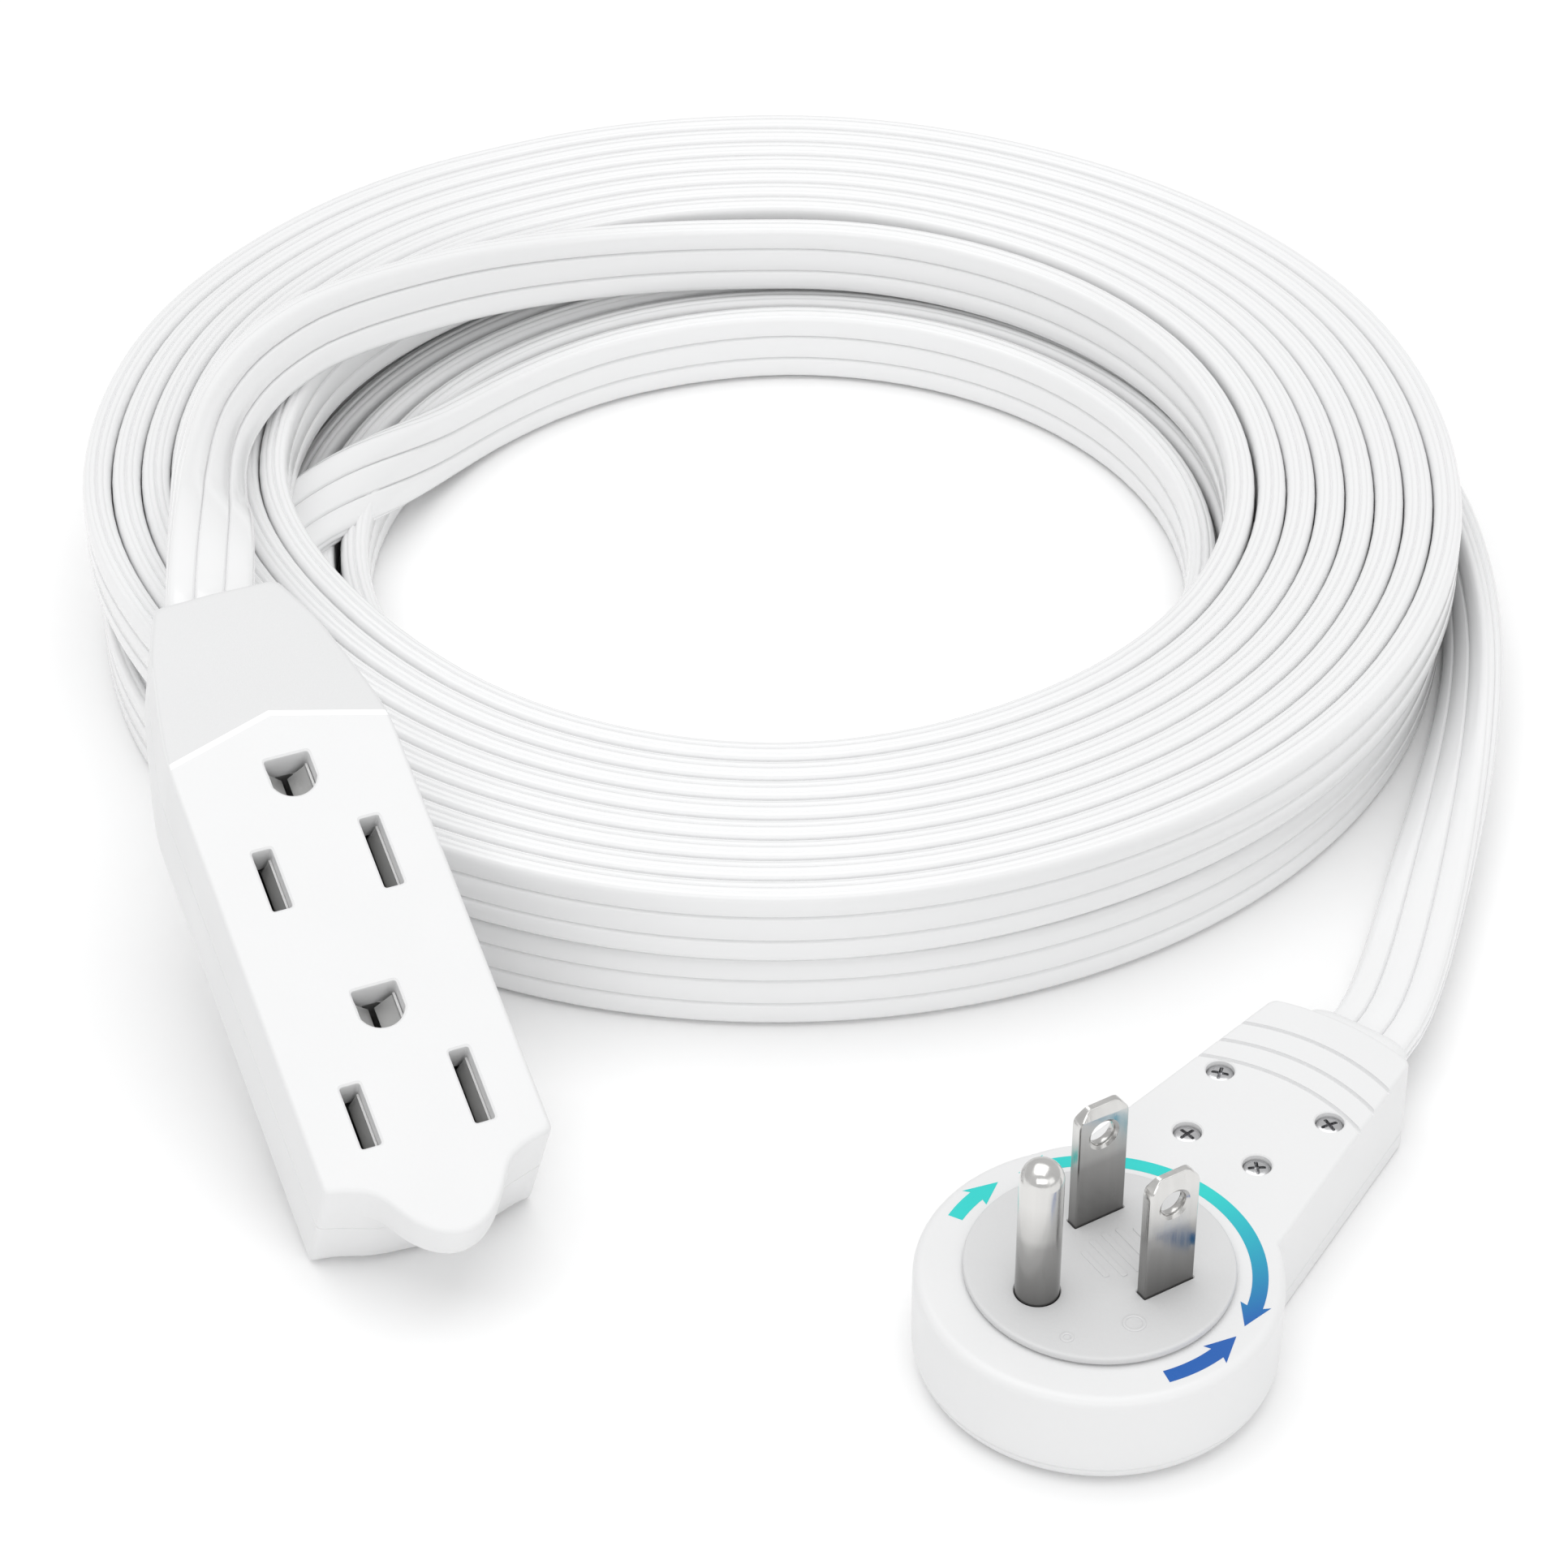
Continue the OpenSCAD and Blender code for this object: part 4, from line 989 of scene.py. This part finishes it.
TAB_UNDER = 13.0
upper_levels = [(TAP_MID + 0.02, 0.13, 0, 1), (TAP_MID + 0.15, 0, 0, 1), (12.2, 0, 0, 1), (12.75, 0, 0.02, 1),
                (TAB_UNDER, 0, 0.1, 1), (TAB_UNDER, 0, 0.86, 1), (TAB_UNDER + 0.08, 0, 0.92, 1),
                (TAB_UNDER + 0.3, 0, 0.975, 1), (TAB_UNDER + 0.7, 0, 1, 1), (16.0, 0, 1, 1)]
upper_levels += [(z, d, 1, 1) for z, d in fillet_levels(TAP_T, 0.55)] + [(TAP_T, 0.85, 1, 1)]
upper = tap_shell("tap_face_shell", upper_levels)
upper.data.materials.append(M_SHELL)
carve(upper, [tap_room(TAP_MID - 1, TAP_T - TAP_WALL)])


def outlet_walls(y, toward, z0, z1):
    """Blocks under an outlet's openings, so that the openings are as deep as moulded ones."""
    wall, ground = 0.9, 5.2
    places = [(-BLADE_GAP / 2, y, SLOT_W, HOT_SLOT_L), (BLADE_GAP / 2, y, SLOT_W, NEUTRAL_SLOT_L),
              (0, y + toward * PIN_OFFSET, ground, ground)]
    return [prism("wall", rounded_box_outline(x - w / 2 - wall, c - h / 2 - wall,
                                              x + w / 2 + wall, c + h / 2 + wall, 0.5, 3),
                  [(z0, 0), (z1, 0)]) for x, c, w, h in places]


for y in OUTLET_Y:
    carve(upper, outlet_walls(y, 1, TAP_T - 4.6, TAP_T - 0.8), "UNION")
    carve(upper, outlet_cutters(y, 1, TAP_T, 1))


def cable_opening():
    """The opening for the cable in the tap's narrow end."""
    return fix_normals(loft("cut", [[(u, y, TAP_MID + v) for u, v in port_outline(6.3, 2.9, 0.3, 5)]
                                    for y in (70.0, 80.0)]))


carve(upper, [cable_opening()])
# Up-facing faces past the ridge get the sloping end's painted shade, and the band on the ridge gets its
# painted highlight.
for p in upper.data.polygons:
    far = past_ridge(p.center.x, p.center.y)
    if p.material_index == 0 and p.normal.z > 0.75 and far > -RIDGE_EDGE:
        p.material_index = 2 if far > RIDGE_EDGE else 3
finished(upper, ON_TAP, "cord_set", "white_shell", M_SHELL, M_INNER, M_SLOPE_SHADE, M_RIDGE_HIGHLIGHT, sharp=30)
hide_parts("tap_upper_shell")

lower_levels = [(0.0, 0.8, 0, 0.0)]
lower_levels += [(z, d, 0, b) for (z, d), b in zip(
    [(0.0, 0.5), (0.1, 0.3), (0.3, 0.12), (0.6, 0.03), (1.0, 0), (1.5, 0), (2.2, 0)],
    (0.0, 0.02, 0.1, 0.28, 0.6, 0.88, 1.0))]
lower_levels += [(5.0, 0, 0, 1), (TAP_MID - 0.15, 0, 0, 1), (TAP_MID - 0.02, 0.13, 0, 1)]
lower = tap_shell("tap_back_shell", lower_levels)
lower.data.materials.append(M_SHELL)
carve(lower, [tap_room(TAP_WALL, TAP_MID + 1)])
carve(lower, outlet_walls(BACK_OUTLET_Y, -1, 0.8, 4.6), "UNION")
carve(lower, outlet_cutters(BACK_OUTLET_Y, -1, 0.0, -1))
carve(lower, [fix_normals(lathe("cut", [(3.2, -0.8), (2.7, -0.02), (2.5, 0.2), (2.5, 2.2)], 40, p))
              for p in TAP_POSTS])
carve(lower, [cable_opening()])
finished(lower, ON_TAP, "cord_set", "white_shell", M_SHELL, M_INNER, sharp=30)
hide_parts("tap_lower_shell")


def contact_leaves(y, toward, face, sign):
    """Pairs of spring leaves that can be seen down an outlet's openings."""
    made = []
    places = ((-BLADE_GAP / 2, y, 3.2, 1.06, 0.12), (BLADE_GAP / 2, y, 3.9, 1.06, 0.12),
              (0, y + toward * PIN_OFFSET, 1.7, 2.45, 0.35))
    for x, c, half, out, lean in places:
        for s in (-1, 1):
            line = [(out, 1.8), (out, 2.3), (lean + 0.3, 4.5), (out, 6.3), (out - 0.3, 6.3), (lean, 4.55),
                    (out - 0.32, 2.3), (out - 0.28, 1.8)]
            made.append(fix_normals(loft("leaf", [[(x + s * u, v, face - sign * d) for u, d in line]
                                                  for v in (c - half, c + half)])))
    return made


leaves = [leaf for y in OUTLET_Y for leaf in contact_leaves(y, 1, TAP_T, 1)]
leaves = joined(leaves + contact_leaves(BACK_OUTLET_Y, -1, 0.0, -1))
leaves.name = "outlet_leaves"
finished(leaves, ON_TAP, "cord_set", "contact_brass", M_LEAF, sharp=30)

# ---------------------------------------------------------------- CAD nodes that stay
KEPT = {
    M_STEEL: ("rotor_rivets", "tap_screws"),
    M_BRASS: ("neutral_ring", "hot_ring", "ground_contact", "hot_wiper", "neutral_wiper", "ground_wiper"),
    M_LEAF: ("tap_hot_bus", "tap_neutral_bus", "tap_ground_bus"),
    M_GREY: ("plug_clamp", "tap_clamp", "rotor_back", "tap_dividers"),
    M_IVORY: ("ring_carrier",),
    M_CABLE: ("plug_cord_tail", "tap_cord_tail"),
    M_BLACK: ("plug_hot_lead", "tap_hot_lead"),
    M_LEAD_WHITE: ("plug_neutral_lead", "tap_neutral_lead"),
    M_GREEN: ("plug_ground_lead", "tap_ground_lead"),
}
for mat, names in KEPT.items():
    for name in names:
        mesh = NODES[name].data
        mesh.materials.clear()
        mesh.materials.append(mat)

# ---------------------------------------------------------------- floor and light
floor = new_object("floor", [(-3, -3, -0.0001), (3, -3, -0.0001), (3, 3, -0.0001), (-3, 3, -0.0001)],
                   [(0, 1, 2, 3)])
floor.data.materials.append(material("floor_white", (0.97, 0.97, 0.97), 0.7, tint=0.004, mottle=0.03,
                                     mottle_scale=4))

world = bpy.data.worlds.new("studio")
bpy.context.scene.world = world
world.use_nodes = True
sky = world.node_tree.nodes["Background"]
sky.inputs["Color"].default_value = (1.0, 1.0, 1.0, 1)
sky.inputs["Strength"].default_value = 0.66
bpy.context.scene.view_settings.view_transform = "Standard"


def softbox(name, place, target, size, power):
    """A rectangular light at place that faces target."""
    data = bpy.data.lights.new(name, "AREA")
    data.shape, data.size, data.size_y, data.energy = "RECTANGLE", size[0], size[1], power
    obj = bpy.data.objects.new(name, data)
    obj.location = place
    obj.rotation_euler = (Vector(target) - Vector(place)).to_track_quat("-Z", "Y").to_euler()
    bpy.context.scene.collection.objects.link(obj)
    return obj


softbox("key", (-0.12, 0.12, 1.25), (0, 0.08, 0), (1.4, 1.4), 8.6)
softbox("front", (0.0, -1.2, 0.75), (0, 0.05, 0.02), (1.4, 0.6), 3.2)
softbox("right", (1.1, -0.9, 0.6), (0, 0.05, 0.02), (0.8, 0.7), 1.3)
